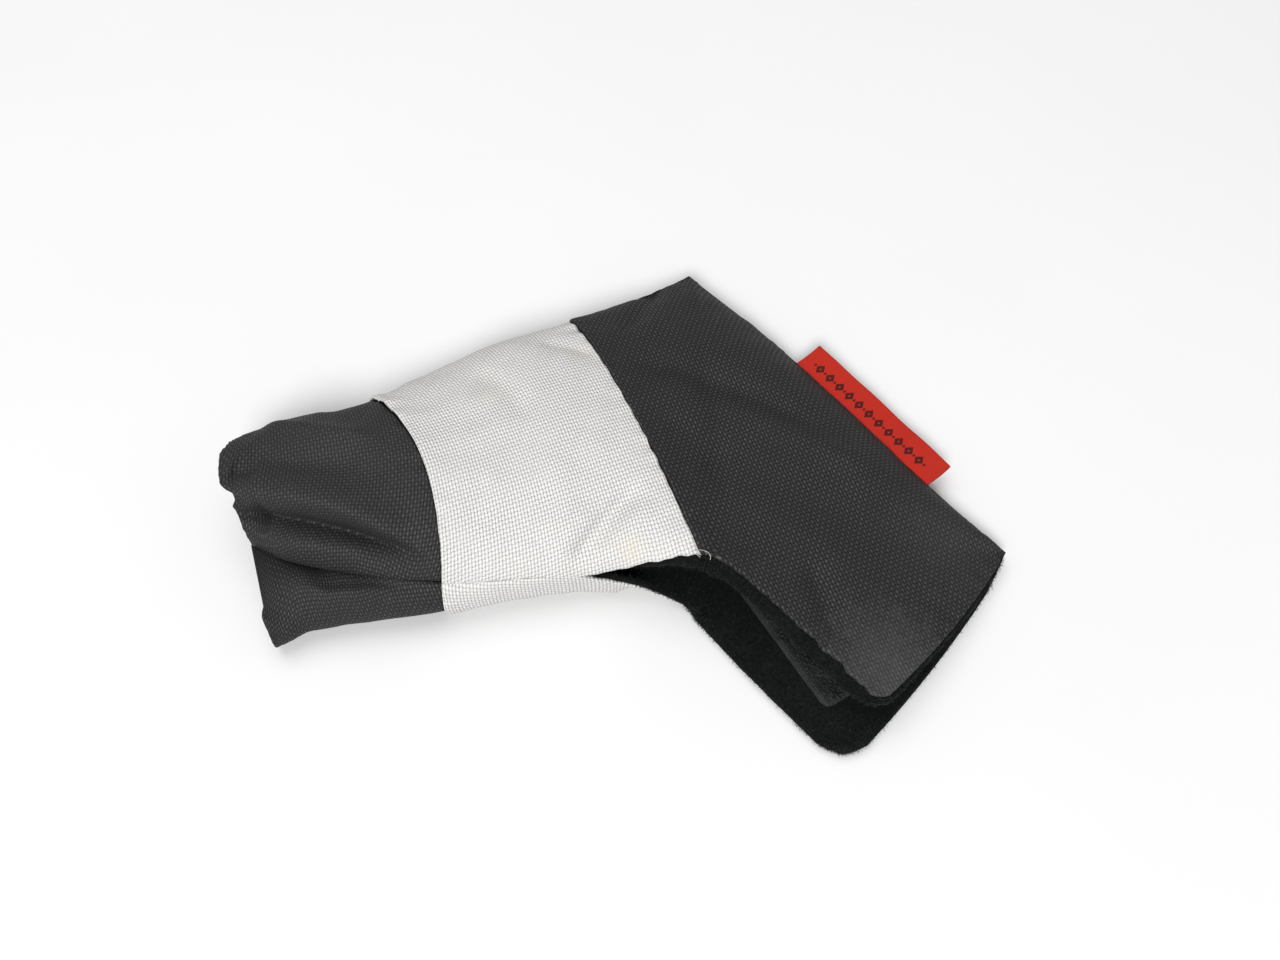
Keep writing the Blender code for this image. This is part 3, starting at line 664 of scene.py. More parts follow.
def grown(patch, top, reach_near, reach_toe, turn):
    """Lets the border of a sheet stand out past the canvas and curl down."""
    out_near, out_toe, face_near, face_toe = border_ways(patch)
    total = patch.near + patch.last + 1e-6
    share = patch.last / total

    def between(near, toe):
        by = share.reshape(share.shape + (1,) * (near.ndim - 1))
        return near[:, None] * by + toe[None, :] * (1 - by)

    out = unit(between(out_near, out_toe))
    reach = between(reach_near, reach_toe)
    distance = patch.near * patch.last / total
    beyond = reach * np.clip(1 - distance / (2.2 * reach + 3), 0, 1) ** 2
    radius = (reach + 1) / np.maximum(turn * np.clip(reach / 4, 0, 1), 0.02)
    amount = np.clip(reach, 0, 1)
    run = np.maximum(beyond - distance + 1, 0) * amount
    ahead = radius * np.sin(run / radius) - run
    down = radius * (1 - np.cos(run / radius))
    face = unit(mix(between(face_near, face_toe), patch.normals, smooth(distance / 9)[..., None]))
    points = top + out * (beyond + ahead)[..., None] - face * down[..., None]
    facing = normals(points, patch.side)
    facing = np.stack([blurred(facing[..., k], 6) for k in range(3)], axis=2)
    return Patch(patch.side, patch.s, points, unit(mix(patch.normals, facing, amount[..., None])))


def fleece_side(side, s, columns, rim, turn, toe):
    """A lining side: its outer and inner layer, and the patch it follows."""
    skin_patch = whole_side(side, s, columns)
    factor = room_factor(skin_patch, TREE)
    deep = mix(SEAM_DEPTH, CANVAS + LINING_GAP, factor)
    top = skin_patch.points - skin_patch.normals * deep[..., None]
    opening = opening_share(s)
    reach_near = rim * smooth(opening * 1.15) * (1 - 0.45 * smooth((s - 8.2) / 0.8))
    far_end = np.clip(run_length(top, 1, True)[-1] / 14, 0, 1)
    reach_toe = toe * far_end
    patch = grown(skin_patch, top, reach_near, reach_toe, turn)
    nap = 0.13 * waves(patch.points[..., :2] + patch.points[..., 2:3] * 0.7, 2.3, 41, 9)
    nap += 0.09 * waves(patch.points[..., :2] - patch.points[..., 2:3] * 0.6, 1.1, 42, 9)
    nap += 0.2 * waves(patch.points[..., :2], 8, 43, 6)
    nap *= factor * 0.7
    thick = LINING * factor
    edge = np.minimum(np.minimum(patch.near, patch.last), patch.first)
    rounded = border_roll(edge, 1.0) * 0.48 * thick
    upper = patch.points + patch.normals * (nap - rounded)[..., None]
    lower = patch.points - patch.normals * (thick - rounded + nap)[..., None]
    if side == "back":
        keep_above(upper, LOWEST["fleece"])
        keep_above(lower, upper[..., 2] + 0.1)
    return patch, upper, lower


def fleece_panel(name, side, start, end, short, material):
    """One piece of a lining side, between two sections."""
    patch, upper, lower = side
    rows = (patch.s > start - 1e-6) & (patch.s < end + 1e-6)
    columns = (patch.far[rows] > short).all(axis=0)
    piece = np.ix_(rows, columns)
    obj = sheet_object(name, upper[piece], lower[piece], patch.unrolled[piece], 0.0,
                       patch.side == "front", material)
    return obj, upper[piece], lower[piece], patch.unrolled[piece], patch.s[rows]


def twisted_thread(name, paths, radius, pitch, material, strands=2, sides=5):
    """A plied thread along each path, made of strands wound round each other."""
    points, faces = [], []
    for path in paths:
        path = np.asarray(path, float)
        total = lengths_along(path)
        count = max(int(total[-1] / (pitch / 6)), 6)
        at = np.linspace(0, total[-1], count)
        line = at_lengths(at, total, path)
        ahead = unit(np.gradient(line, axis=0))
        side = unit(np.cross(ahead, (0, 0, 1)))
        up = np.cross(side, ahead)
        for strand in range(strands):
            turn = 2 * np.pi * (at / pitch + strand / strands)
            wound = line + (side * np.cos(turn)[:, None] + up * np.sin(turn)[:, None]) * radius * 0.45
            base = len(points)
            for k in range(sides):
                angle = 2 * np.pi * k / sides
                points += (wound + (side * math.cos(angle) + up * math.sin(angle)) * radius * 0.6).tolist()
            for i in range(count - 1):
                for k in range(sides):
                    a, b = base + k * count + i, base + (k + 1) % sides * count + i
                    faces.append([a, b, b + 1, a + 1])
            faces.append([base + k * count for k in range(sides)][::-1])
            faces.append([base + k * count + count - 1 for k in range(sides)])
    return mesh_object(name, points, faces, material)


def fibres(name, roots, directions, length, radius, seed, material):
    """Short tapered fibres that stand on a napped surface."""
    random = np.random.default_rng(seed)
    count = len(roots)
    aim = unit(directions + random.normal(0, 0.55, (count, 3)))
    size = length * random.uniform(0.45, 1.3, (count, 1))
    curl = random.normal(0, 0.5, (count, 3)) * size * 0.45
    side = unit(np.cross(aim, random.normal(0, 1, (count, 3))))
    other = np.cross(aim, side)
    middle = roots + aim * size * 0.55 + curl * 0.3
    points = np.zeros((count, 7, 3))
    for k in range(3):
        angle = 2 * np.pi * k / 3
        ring = side * math.cos(angle) + other * math.sin(angle)
        points[:, k] = roots - aim * 0.25 + ring * radius
        points[:, 3 + k] = middle + ring * radius * 0.7
    points[:, 6] = roots + aim * size + curl
    keep_above(points, LOWEST["fibre"])
    faces = []
    for b in range(0, count * 7, 7):
        faces.append([b + 2, b + 1, b])
        for k, m in ((0, 1), (1, 2), (2, 0)):
            faces.append([b + k, b + m, b + 3 + m, b + 3 + k])
            faces.append([b + 3 + k, b + 3 + m, b + 6])
    return mesh_object(name, points.reshape(-1, 3), faces, material)


# Materials

class Nodes:
    """A material's node tree, with short calls for the nodes used here."""

    def __init__(self, name):
        self.material = bpy.data.materials.new(name)
        self.material.use_nodes = True
        self.tree = self.material.node_tree

    def fill(self, sockets, values):
        for key, value in values.items():
            if isinstance(value, bpy.types.NodeSocket):
                self.tree.links.new(value, sockets[key])
            else:
                sockets[key].default_value = value

    def add(self, kind, inputs, **settings):
        node = self.tree.nodes.new("ShaderNode" + kind)
        for key, value in settings.items():
            setattr(node, key, value)
        self.fill(node.inputs, inputs)
        return node.outputs

    def maths(self, operation, *values):
        return self.add("Math", dict(enumerate(values)), operation=operation)[0]

    def times(self, *values):
        product = values[0]
        for value in values[1:]:
            product = self.maths("MULTIPLY", product, value)
        return product

    def scaled(self, value, scale, shift):
        return self.maths("MULTIPLY_ADD", value, scale, shift)

    def minus(self, a, b):
        return self.maths("SUBTRACT", a, b)

    def sine(self, place, pitch):
        return self.maths("SINE", self.times(place, 2 * math.pi / (pitch * MM)))

    def split(self, vector):
        return self.add("SeparateXYZ", {0: vector})

    def joined(self, *parts):
        return self.add("CombineXYZ", dict(enumerate(parts)))[0]

    def grain(self):
        return self.add("UVMap", {}, uv_map="grain")[0]

    def rest(self):
        return self.add("Attribute", {}, attribute_name="rest_place")["Vector"]

    def noise(self, vector, scale, detail=3.0, roughness=0.5):
        inputs = {"Vector": vector, "Scale": scale, "Detail": detail, "Roughness": roughness}
        return self.add("TexNoise", inputs)["Fac"]

    def ramp(self, value, low, high, to_low=0.0, to_high=1.0):
        return self.add("MapRange", dict(enumerate((value, low, high, to_low, to_high))))[0]

    def blend(self, share, a, b):
        a, b = (c if isinstance(c, bpy.types.NodeSocket) else (*c, 1.0) for c in (a, b))
        return self.add("Mix", {0: share, 6: a, 7: b}, data_type="RGBA")[2]

    def bump(self, height, distance, strength=1.0, under=None):
        inputs = {"Strength": strength, "Distance": distance * MM, "Height": height}
        if under is not None:
            inputs["Normal"] = under
        return self.add("Bump", inputs)[0]

    def finish(self, colour, roughness, normal, specular=0.3, sheen=0.0, sheen_tint=(1, 1, 1)):
        self.fill(self.tree.nodes["Principled BSDF"].inputs, {
            "Base Color": colour, "Roughness": roughness, "Normal": normal, "Specular IOR Level": specular,
            "Sheen Weight": sheen, "Sheen Roughness": 0.5, "Sheen Tint": (*sheen_tint, 1.0)})
        return self.material


def plain_weave(nodes, pitch_along, pitch_across):
    """Height of a plain weave, a number for each float, and the place along and across its yarns."""
    grain = nodes.grain()
    parts = nodes.split(grain)
    wander = nodes.scaled(nodes.noise(grain, 55, 2.0), 1.0, -0.5)
    wander_across = nodes.scaled(nodes.noise(grain, 260, 2.0), 0.3, -0.15)
    u = nodes.scaled(parts[0], 1 / pitch_along, wander)
    v = nodes.scaled(parts[1], 1 / pitch_across, wander_across)
    cells, arches, rounds = [], [], []
    for turn in (u, v):
        cell = nodes.maths("FLOOR", turn)
        arch = nodes.maths("COSINE", nodes.times(nodes.minus(nodes.minus(turn, cell), 0.5), math.pi))
        cells.append(cell)
        arches.append(arch)
        rounds.append(nodes.maths("SQRT", nodes.maths("MAXIMUM", arch, 0.0)))
    parity = nodes.maths("FLOORED_MODULO", nodes.maths("ADD", *cells), 2.0)
    sign = nodes.scaled(parity, 2.0, -1.0)
    crossing = nodes.times(rounds[0], nodes.scaled(nodes.times(sign, arches[1]), 0.44, 0.56))
    along_yarn = nodes.times(rounds[1], nodes.scaled(nodes.times(sign, arches[0]), -0.24, 0.42))
    number = nodes.add("TexWhiteNoise", {"Vector": nodes.joined(*cells)}, noise_dimensions="2D")["Value"]
    return nodes.maths("MAXIMUM", along_yarn, crossing), number, parts


def canvas_material(name, pitch, gap_shade, yarn, tip_highlight, dirt, stains_and_painted_light, roughness, specular,
                    body_range, tip_range):
    """Plain-woven canvas: gaps darkened as painted shade, yarns with filaments and with painted highlights
    on their tips, uneven dirt, and listed spots, some of them stains and some painted light.
    """
    nodes = Nodes(name)
    height, number, parts = plain_weave(nodes, pitch[0] * MM, pitch[1] * MM)
    streaks = nodes.joined(parts[0], nodes.times(parts[1], 0.25), 0.3)
    filaments = nodes.noise(streaks, 1 / (pitch[0] * MM) * 4, 2.0)
    # Painted shade: the gaps between the yarns take the dark gap colour.
    base = nodes.blend(nodes.ramp(height, *body_range), gap_shade, yarn)
    # Painted highlight: the tips of the yarns are brightened towards the tip colour.
    bright = nodes.times(nodes.ramp(height, *tip_range), nodes.ramp(number, 0.0, 1.0, 0.3, 1.0))
    base = nodes.blend(bright, base, tip_highlight)
    # Painted shade in the streaks between the filaments.
    base = nodes.blend(nodes.ramp(filaments, 0.35, 0.7, 0.0, 0.22), base, gap_shade)
    patches = nodes.noise(nodes.rest(), 38, 4.0, 0.6)
    base = nodes.blend(nodes.ramp(patches, 0.45, 0.8, 0.0, 0.35), base, dirt)
    # Listed spots: brownish stains on the band, and lighter spots on the black canvas, those at the toe
    # painted light.
    for place, radius, colour, strength in stains_and_painted_light:
        away = nodes.add("VectorMath", {0: nodes.rest(), 1: [c * MM for c in place]}, operation="DISTANCE")
        ragged = nodes.scaled(nodes.noise(nodes.rest(), 420, 3.0), radius * MM, away["Value"])
        spot = nodes.ramp(ragged, radius * 1.5 * MM, radius * 0.5 * MM, 0.0, strength)
        base = nodes.blend(spot, base, colour)
    normal = nodes.bump(height, 0.34)
    normal = nodes.bump(filaments, 0.05, 0.5, normal)
    rough = nodes.ramp(height, 0.3, 1.0, 0.85, roughness)
    return nodes.finish(base, rough, normal, specular)


def fleece_material(name, low, high, lint):
    """Matted pile in tufts and clumps, with specks of lint."""
    nodes = Nodes(name)
    place = nodes.rest()
    tufts = nodes.noise(place, 900, 4.0, 0.65)
    clumps = nodes.noise(place, 170, 3.0, 0.55)
    specks = nodes.noise(place, 2600, 1.0)
    mixed = nodes.times(nodes.ramp(tufts, 0.3, 0.75), nodes.ramp(clumps, 0.3, 0.7, 0.45, 1.0))
    base = nodes.blend(mixed, low, high)
    base = nodes.blend(nodes.ramp(specks, 0.70, 0.78, 0.0, 0.35), base, lint)
    normal = nodes.bump(clumps, 0.9, 0.6)
    normal = nodes.bump(tufts, 0.45, 0.9, normal)
    return nodes.finish(base, nodes.ramp(tufts, 0.3, 0.8, 1.0, 0.85), normal, 0.06, 0.06, (0.5, 0.55, 0.52))


def fibre_material(name, dark, light):
    nodes = Nodes(name)
    place = nodes.rest()
    shade = nodes.noise(place, 1400, 2.0)
    base = nodes.blend(nodes.ramp(shade, 0.35, 0.75), dark, light)
    normal = nodes.bump(nodes.noise(place, 5000, 1.0), 0.02, 0.3)
    return nodes.finish(base, nodes.ramp(shade, 0.3, 0.7, 0.9, 0.7), normal, 0.15)


def tape_material(name, dark, light, shine, half_width=7.0, cord_pitch=0.65):
    """Napped tape with a woven selvage along both long edges; v runs across it from its middle."""
    nodes = Nodes(name)
    place = nodes.rest()
    loops = nodes.noise(place, 1900, 3.0, 0.7)
    cells = nodes.add("TexVoronoi", {"Vector": place, "Scale": 1300}, feature="F1")
    heads = nodes.ramp(cells["Distance"], 0.1, 0.5, 1.0, 0.0)
    glints = nodes.ramp(nodes.times(loops, heads), 0.42, 0.62)
    base = nodes.blend(nodes.times(nodes.ramp(loops, 0.4, 0.7), heads), dark, light)
    base = nodes.blend(glints, base, [c * 7 for c in light])
    parts = nodes.split(nodes.grain())
    inland = nodes.minus(half_width * MM, nodes.maths("ABSOLUTE", parts[1]))
    at_edge = nodes.ramp(inland, 1.9 * MM, 2.1 * MM, 1.0, 0.0)
    cords = nodes.ramp(nodes.sine(inland, cord_pitch), -0.2, 0.9)
    cords = nodes.scaled(nodes.sine(parts[0], 0.7), 0.25, cords)
    edge_tone = nodes.blend(nodes.ramp(cords, 0.1, 0.9), dark, [c * 1.7 for c in light])
    base = nodes.blend(at_edge, base, edge_tone)
    pile = nodes.times(heads, nodes.minus(1.0, at_edge))
    lift = nodes.maths("ADD", pile, nodes.times(cords, nodes.times(at_edge, 0.7)))
    normal = nodes.bump(lift, 0.3, 0.9)
    normal = nodes.bump(loops, 0.2, 0.7, normal)
    return nodes.finish(base, nodes.ramp(loops, 0.3, 0.7, shine + 0.25, shine), normal, 0.5)


def ribbon_material(name, ground, light, motif):
    """Fine ribbed ribbon with a plain woven row of lozenges and beads along its middle."""
    nodes = Nodes(name)
    parts = nodes.split(nodes.grain())
    thread = nodes.scaled(nodes.times(nodes.sine(parts[0], 0.42), nodes.sine(parts[1], 0.3)), 0.35, 0.5)
    wear = nodes.noise(nodes.rest(), 300, 4.0, 0.6)
    base = nodes.blend(nodes.ramp(thread, 0.2, 0.9), ground, light)
    base = nodes.blend(nodes.ramp(wear, 0.5, 0.85, 0.0, 0.3), base, ground)
    step = nodes.maths("DIVIDE", parts[0], MOTIF_PITCH * MM)
    inside = nodes.maths("ABSOLUTE", nodes.minus(nodes.maths("FRACT", step), 0.5))
    level = nodes.maths("DIVIDE", nodes.minus(parts[1], MOTIF_MIDDLE * MM), MOTIF_HALF * MM)
    level = nodes.maths("ABSOLUTE", level)
    slope = nodes.scaled(inside, 2.7, level)
    lozenge = nodes.times(nodes.ramp(slope, 0.94, 1.0, 1.0, 0.0), nodes.ramp(slope, 0.2, 0.26, 0.0, 1.0))
    round_bead = nodes.scaled(nodes.minus(0.5, inside), 5.5, nodes.times(level, 1.6))
    bead = nodes.ramp(round_bead, 0.5, 0.58, 1.0, 0.0)
    inner, outer = MOTIF_ENDS
    inner_end = nodes.ramp(parts[0], inner * MM, (inner + 0.05) * MM)
    outer_end = nodes.ramp(parts[0], outer * MM, (outer + 0.05) * MM, 1.0, 0.0)
    one_side = nodes.ramp(parts[1], 0.0, 0.1 * MM)
    shown = nodes.times(nodes.maths("MAXIMUM", lozenge, bead), inner_end, outer_end, one_side)
    base = nodes.blend(nodes.times(shown, 0.88), base, motif)
    normal = nodes.bump(nodes.scaled(shown, 0.6, thread), 0.09, 0.8)
    return nodes.finish(base, nodes.ramp(thread, 0.2, 0.8, 0.8, 0.65), normal, 0.15)


def floor_material(name, colour):
    nodes = Nodes(name)
    place = nodes.add("TexCoord", {})["Object"]
    tone = nodes.noise(place, 9, 3.0)
    base = nodes.blend(nodes.ramp(tone, 0.3, 0.7), colour, [c * 0.985 for c in colour])
    normal = nodes.bump(nodes.noise(place, 600, 2.0), 0.05, 0.2)
    return nodes.finish(base, 0.7, normal, 0.1)


BLACK_CANVAS = canvas_material(
    "black_canvas", pitch=(0.98, 1.26), gap_shade=(0.0004, 0.0004, 0.0005), yarn=(0.0195, 0.0195, 0.021),
    tip_highlight=(0.046, 0.0455, 0.049), dirt=(0.007, 0.0065, 0.007), roughness=0.5, specular=0.4,
    body_range=(0.4, 0.64), tip_range=(0.62, 0.95),
    # Lighter spots: a wide one over the cuff, and two at the toe that are painted light where it slopes
    # towards the key lamp.
    stains_and_painted_light=[((-80, -5, 28), 60, (0.036, 0.0355, 0.037), 0.35),
                 ((78, -64, 12), 26, (0.060, 0.059, 0.060), 0.6),
                 ((100, -20, 12), 24, (0.036, 0.0355, 0.037), 0.3)])
SILVER_CANVAS = canvas_material(
    "silver_canvas", pitch=(0.88, 1.24), gap_shade=(0.2, 0.2, 0.2), yarn=(0.665, 0.655, 0.64),
    tip_highlight=(0.77, 0.76, 0.74), dirt=(0.6, 0.59, 0.575), roughness=0.55, specular=0.3,
    body_range=(0.2, 0.56), tip_range=(0.6, 1.0),
    stains_and_painted_light=[((-10, 38, 25), 6, (0.60, 0.54, 0.44), 0.4),
                 ((-36, 19, 29), 4, (0.64, 0.58, 0.50), 0.3),
                 ((6, -29, 22), 6, (0.66, 0.55, 0.42), 0.35)])
BLACK_FLEECE = fleece_material("black_fleece", (0.0022, 0.0028, 0.0026), (0.0105, 0.0125, 0.0115),
                               (0.10, 0.10, 0.09))
FLEECE_NAP = fibre_material("fleece_nap", (0.010, 0.012, 0.011), (0.045, 0.05, 0.045))
LOOP_TAPE = tape_material("loop_tape", (0.0025, 0.0032, 0.0032), (0.015, 0.018, 0.0175), 0.45)
HOOK_TAPE = tape_material("hook_tape", (0.004, 0.0045, 0.0045), (0.02, 0.02, 0.02), 0.4)
RED_RIBBON = ribbon_material("red_ribbon", (0.36, 0.013, 0.0065), (0.47, 0.027, 0.015),
                             (0.022, 0.006, 0.006))
BLACK_THREAD = fibre_material("black_thread", (0.010, 0.010, 0.011), (0.05, 0.05, 0.055))
PALE_THREAD = fibre_material("pale_thread", (0.35, 0.32, 0.28), (0.6, 0.57, 0.52))
FLOOR = floor_material("floor", (0.72, 0.72, 0.72))


# The cover

PANELS = {"cuff": (MOUTH, CUFF_END), "band": (CUFF_END, BAND_END), "head": (BAND_END, TOE)}
BREAKS = (MOUTH, CUFF_END, BAND_END, TOE)
SIDES = {side: whole_side(side, panel_rows(BREAKS, rows), COLUMNS[side]) for side, rows in ROWS.items()}
GRIDS = {(part, side): whole.part(*ends) for part, ends in PANELS.items() for side, whole in SIDES.items()}
TREE = space_tree(SIDES.values())
FACTORS = {key: room_factor(grid, TREE) for key, grid in GRIDS.items()}


FOLD = "across the fold"


def bend_with_flap(obj):
    """The front is one piece across the fold; its transform is baked into its mesh."""
    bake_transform(obj)


def settle(obj, slot, body, *nodes):
    """Hides the CAD nodes that a piece stands for and attaches it to the body that it moves with, or bakes
    its place for pieces across the fold; the slot is not used.
    """
    if nodes:
        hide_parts(*nodes)
    if body == FOLD:
        bend_with_flap(obj)
    else:
        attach(obj, body)


def make_canvas():
    looks = {
        "cuff": (BLACK_CANVAS, GRAIN_CUFF, 0.0, 0.35, "black_canvas"),
        "band": (SILVER_CANVAS, GRAIN_BAND, 1.2, 0.25, "silver_canvas"),
        "head": (BLACK_CANVAS, GRAIN_HEAD, 0.45, 0.0, "black_canvas"),
    }
    replaced = {("head", "front"): ("head_front_panel", "head_front_flap"),
                ("head", "back"): ("head_back_panel",)}
    for (part, side), grid in GRIDS.items():
        material, angle, proud, sunk, slot = looks[part]
        obj = canvas_panel(f"{part}_{side}_canvas", grid, FACTORS[part, side], angle, material, proud, sunk)
        settle(obj, slot, FOLD if (part, side) == ("head", "front") else "cover",
               *replaced.get((part, side), (f"{part}_{side}",)))


def sample_rim(top, low, count, seed):
    """Places and directions for the nap along a panel's free edge."""
    random = np.random.default_rng(seed)
    middle = ((top + low) / 2).reshape(-1, 3)
    top, low = top.reshape(-1, 3), low.reshape(-1, 3)
    pick = random.integers(0, len(top), count)
    use_low = random.random(count) < 0.35
    roots = np.where(use_low[:, None], low[pick], top[pick])
    away = unit(roots - middle[pick])
    return roots + random.normal(0, 0.25, (count, 3)), away


def make_linings():
    rows = panel_rows((FLEECE_START, BAND_END, TOE), FLEECE_ROWS["front"], FLEECE_SPACING)
    front = fleece_side("front", rows, COLUMNS["fleece"], RIM_FRONT, RIM_TURN, RIM_TOE_FRONT)
    rows = panel_rows((FLEECE_START, TOE), FLEECE_ROWS["back"], FLEECE_SPACING)
    back = fleece_side("back", rows, COLUMNS["fleece"], RIM_BACK, RIM_TURN_BACK, RIM_TOE_BACK)
    neck, head, whole = FLEECE_SHORT.values()
    listed = [
        ("neck_front_fleece", front, MOUTH, BAND_END, neck, "cover", "lining_front"),
        ("head_front_fleece", front, BAND_END, TOE, head, FOLD, "lining_front", "lining_front_flap"),
        ("back_fleece", back, MOUTH, TOE, whole, "cover", "lining_back"),
    ]
    made = []
    for name, side, start, end, short, body, *nodes in listed:
        made.append(fleece_panel(name, side, start, end, short, BLACK_FLEECE))
        settle(made[-1][0], "black_fleece", body, *nodes)
    return made


def make_nap(made):
    """Loose fibres of the fleece along the slit and round the toe."""
    everything = slice(None)
    neck, head, back = (slice(count) for count in RIM_COLUMNS.values())
    neck_rows = made[0][4] > SLIT_START + 0.1
    back_rows = made[2][4] > SLIT_START + 0.3
    sets = {
        "neck_front_nap": [(0, neck_rows, neck, 1500, 61)],
        "head_front_nap": [(1, everything, head, 4200, 62), (1, slice(-6, None), everything, 1700, 63)],
        "back_nap": [(2, back_rows, back, 6500, 64), (2, slice(-8, None), everything, 2600, 65)],
    }
    for name, parts in sets.items():
        rims = [sample_rim(made[k][1][rows][:, columns], made[k][2][rows][:, columns], count, seed)
                for k, rows, columns, count, seed in parts]
        roots, aims = (np.concatenate(listed) for listed in zip(*rims))
        obj = fibres(name, roots, aims, NAP_LENGTH, NAP_RADIUS, 71, FLEECE_NAP)
        settle(obj, "black_fleece", FOLD if name == "head_front_nap" else "cover")


# Trims

def rounded_outline(length, width, radius, steps=6):
    points = []
    for quarter in range(4):
        sx = 1 if quarter in (0, 3) else -1
        sy = 1 if quarter in (0, 1) else -1
        for step in range(steps + 1):
            angle = (quarter + step / steps) * math.pi / 2
            points.append((sx * (length / 2 - radius) + radius * math.cos(angle),
                           sy * (width / 2 - radius) + radius * math.sin(angle)))
    return np.array(points)


def mesh_points(obj):
    return np.array([v.co for v in obj.data.vertices]) / MM


def tape_frame(node):
    """Middle, long axis, short axis and face direction of a tape, from its CAD node, in millimetres."""
    points = mesh_points(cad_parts[node])
    middle = (points.max(0) + points.min(0)) / 2
    _, _, axes = np.linalg.svd(points - points.mean(0))
    return middle, axes[0], axes[1], axes[2]


def resting_depth(base, z, under):
    """How far each point of a tape lies from the fleece that it is sewn to, along z."""
    polygons = [tuple(f.vertices) for f in under.data.polygons]
    tree = BVHTree.FromPolygons([Vector(p) for p in mesh_points(under)], polygons)
    depth = np.zeros(base.shape[:2])
    for index in np.ndindex(*depth.shape):
        hit = tree.ray_cast(Vector(base[index] + z * 6), Vector(-z), 12)
        depth[index] = 6 - hit[3] if hit[0] else 0.0
    return blurred(depth, 2)


def tape_sheet(name, node, material, under, rows=90, columns=30, seed=81):
    """The cloth of a tape, lying on the fleece that it is sewn to, and the frame its trims follow."""
    length, width, toward = TAPES[node]
    middle, x, y, z = tape_frame(node)
    z = z if z @ np.array(toward) > 0 else -z
    y = np.cross(z, x)
    u = np.linspace(-1, 1, rows)[:, None] * np.ones((1, columns))
    v = np.linspace(-1, 1, columns)[None, :] * np.ones((rows, 1))
    over = np.clip(np.abs(v) * width / 2 - (width / 2 - TAPE_CORNER), 0, TAPE_CORNER)
    shrink = TAPE_CORNER - np.sqrt(np.maximum(TAPE_CORNER**2 - over**2, 0))
    along_x = u * (length / 2 - shrink)
    across = v * width / 2
    rough = np.random.default_rng(seed).normal(0, 0.07, (rows, columns))
    edge = np.minimum(length / 2 - np.abs(along_x), width / 2 - np.abs(across))
    crown = 0.28 * smooth(edge / 1.6)
    base = middle + along_x[..., None] * x + across[..., None] * y
    rest = resting_depth(base, z, under)
    top = base + z * (rest + 0.3 + crown + rough * smooth(edge / 1.2))[..., None]
    low = base + z * (rest - 0.15)[..., None]
    flat = np.stack([along_x, across], -1)
    obj = sheet_object(name, top, low, flat, 0.0, True, material)
    return obj, top, (middle, x, y, z, rest)


def tape_stitches(name, node, tape, material):
    length, width, _ = TAPES[node]
    middle, x, y, z, rest = tape
    outline = rounded_outline(length - 3.2, width - 3.2, 2.0)
    closed = np.concatenate([outline, outline[:1]])
    total = lengths_along(closed)
    count = int(total[-1] / TAPE_STITCH)
    paths = []
    for k in range(count):
        at = (k + np.array((0.1, 0.3, 0.5, 0.7, 0.88))) * total[-1] / count
        px, py = at_lengths(at, total, closed).T
        row, column = (np.clip((p / side + 0.5) * cells, 0, cells - 1).astype(int)
                       for p, side, cells in zip((px, py), (length, width), rest.shape))
        rise = np.array((0.15, 0.62, 0.72, 0.62, 0.15)) + rest[row, column]
        paths.append(middle + px[:, None] * x + py[:, None] * y + rise[:, None] * z)
    return twisted_thread(name, paths, *THREADS["tape"], material)


def tape_fibres(name, top, z, seed, material):
    random = np.random.default_rng(seed)
    flat = top[3:-3, 3:-3].reshape(-1, 3)
    roots = flat[random.integers(0, len(flat), PILE_COUNT)] + random.normal(0, 0.2, (PILE_COUNT, 3))
    aims = np.repeat(z[None, :], PILE_COUNT, axis=0)
    return fibres(name, roots, aims, PILE_LENGTH, PILE_RADIUS, seed, material)


def make_tapes(linings):
    looks = {"loop_tape": (LOOP_TAPE, linings[2][0], "cover"),
             "hook_tape": (HOOK_TAPE, linings[1][0], FOLD)}
    for node, (material, under, body) in looks.items():
        tape, top, place = tape_sheet(f"{node}_cloth", node, material, under)
        stitches = tape_stitches(f"{node}_stitches", node, place, BLACK_THREAD)
        pile = tape_fibres(f"{node}_pile", top, place[3], 82, material)
        settle(tape, "hook_and_loop", body, node)
        settle(stitches, "black_thread", body, f"{node}_stitching")
        settle(pile, "hook_and_loop", body)


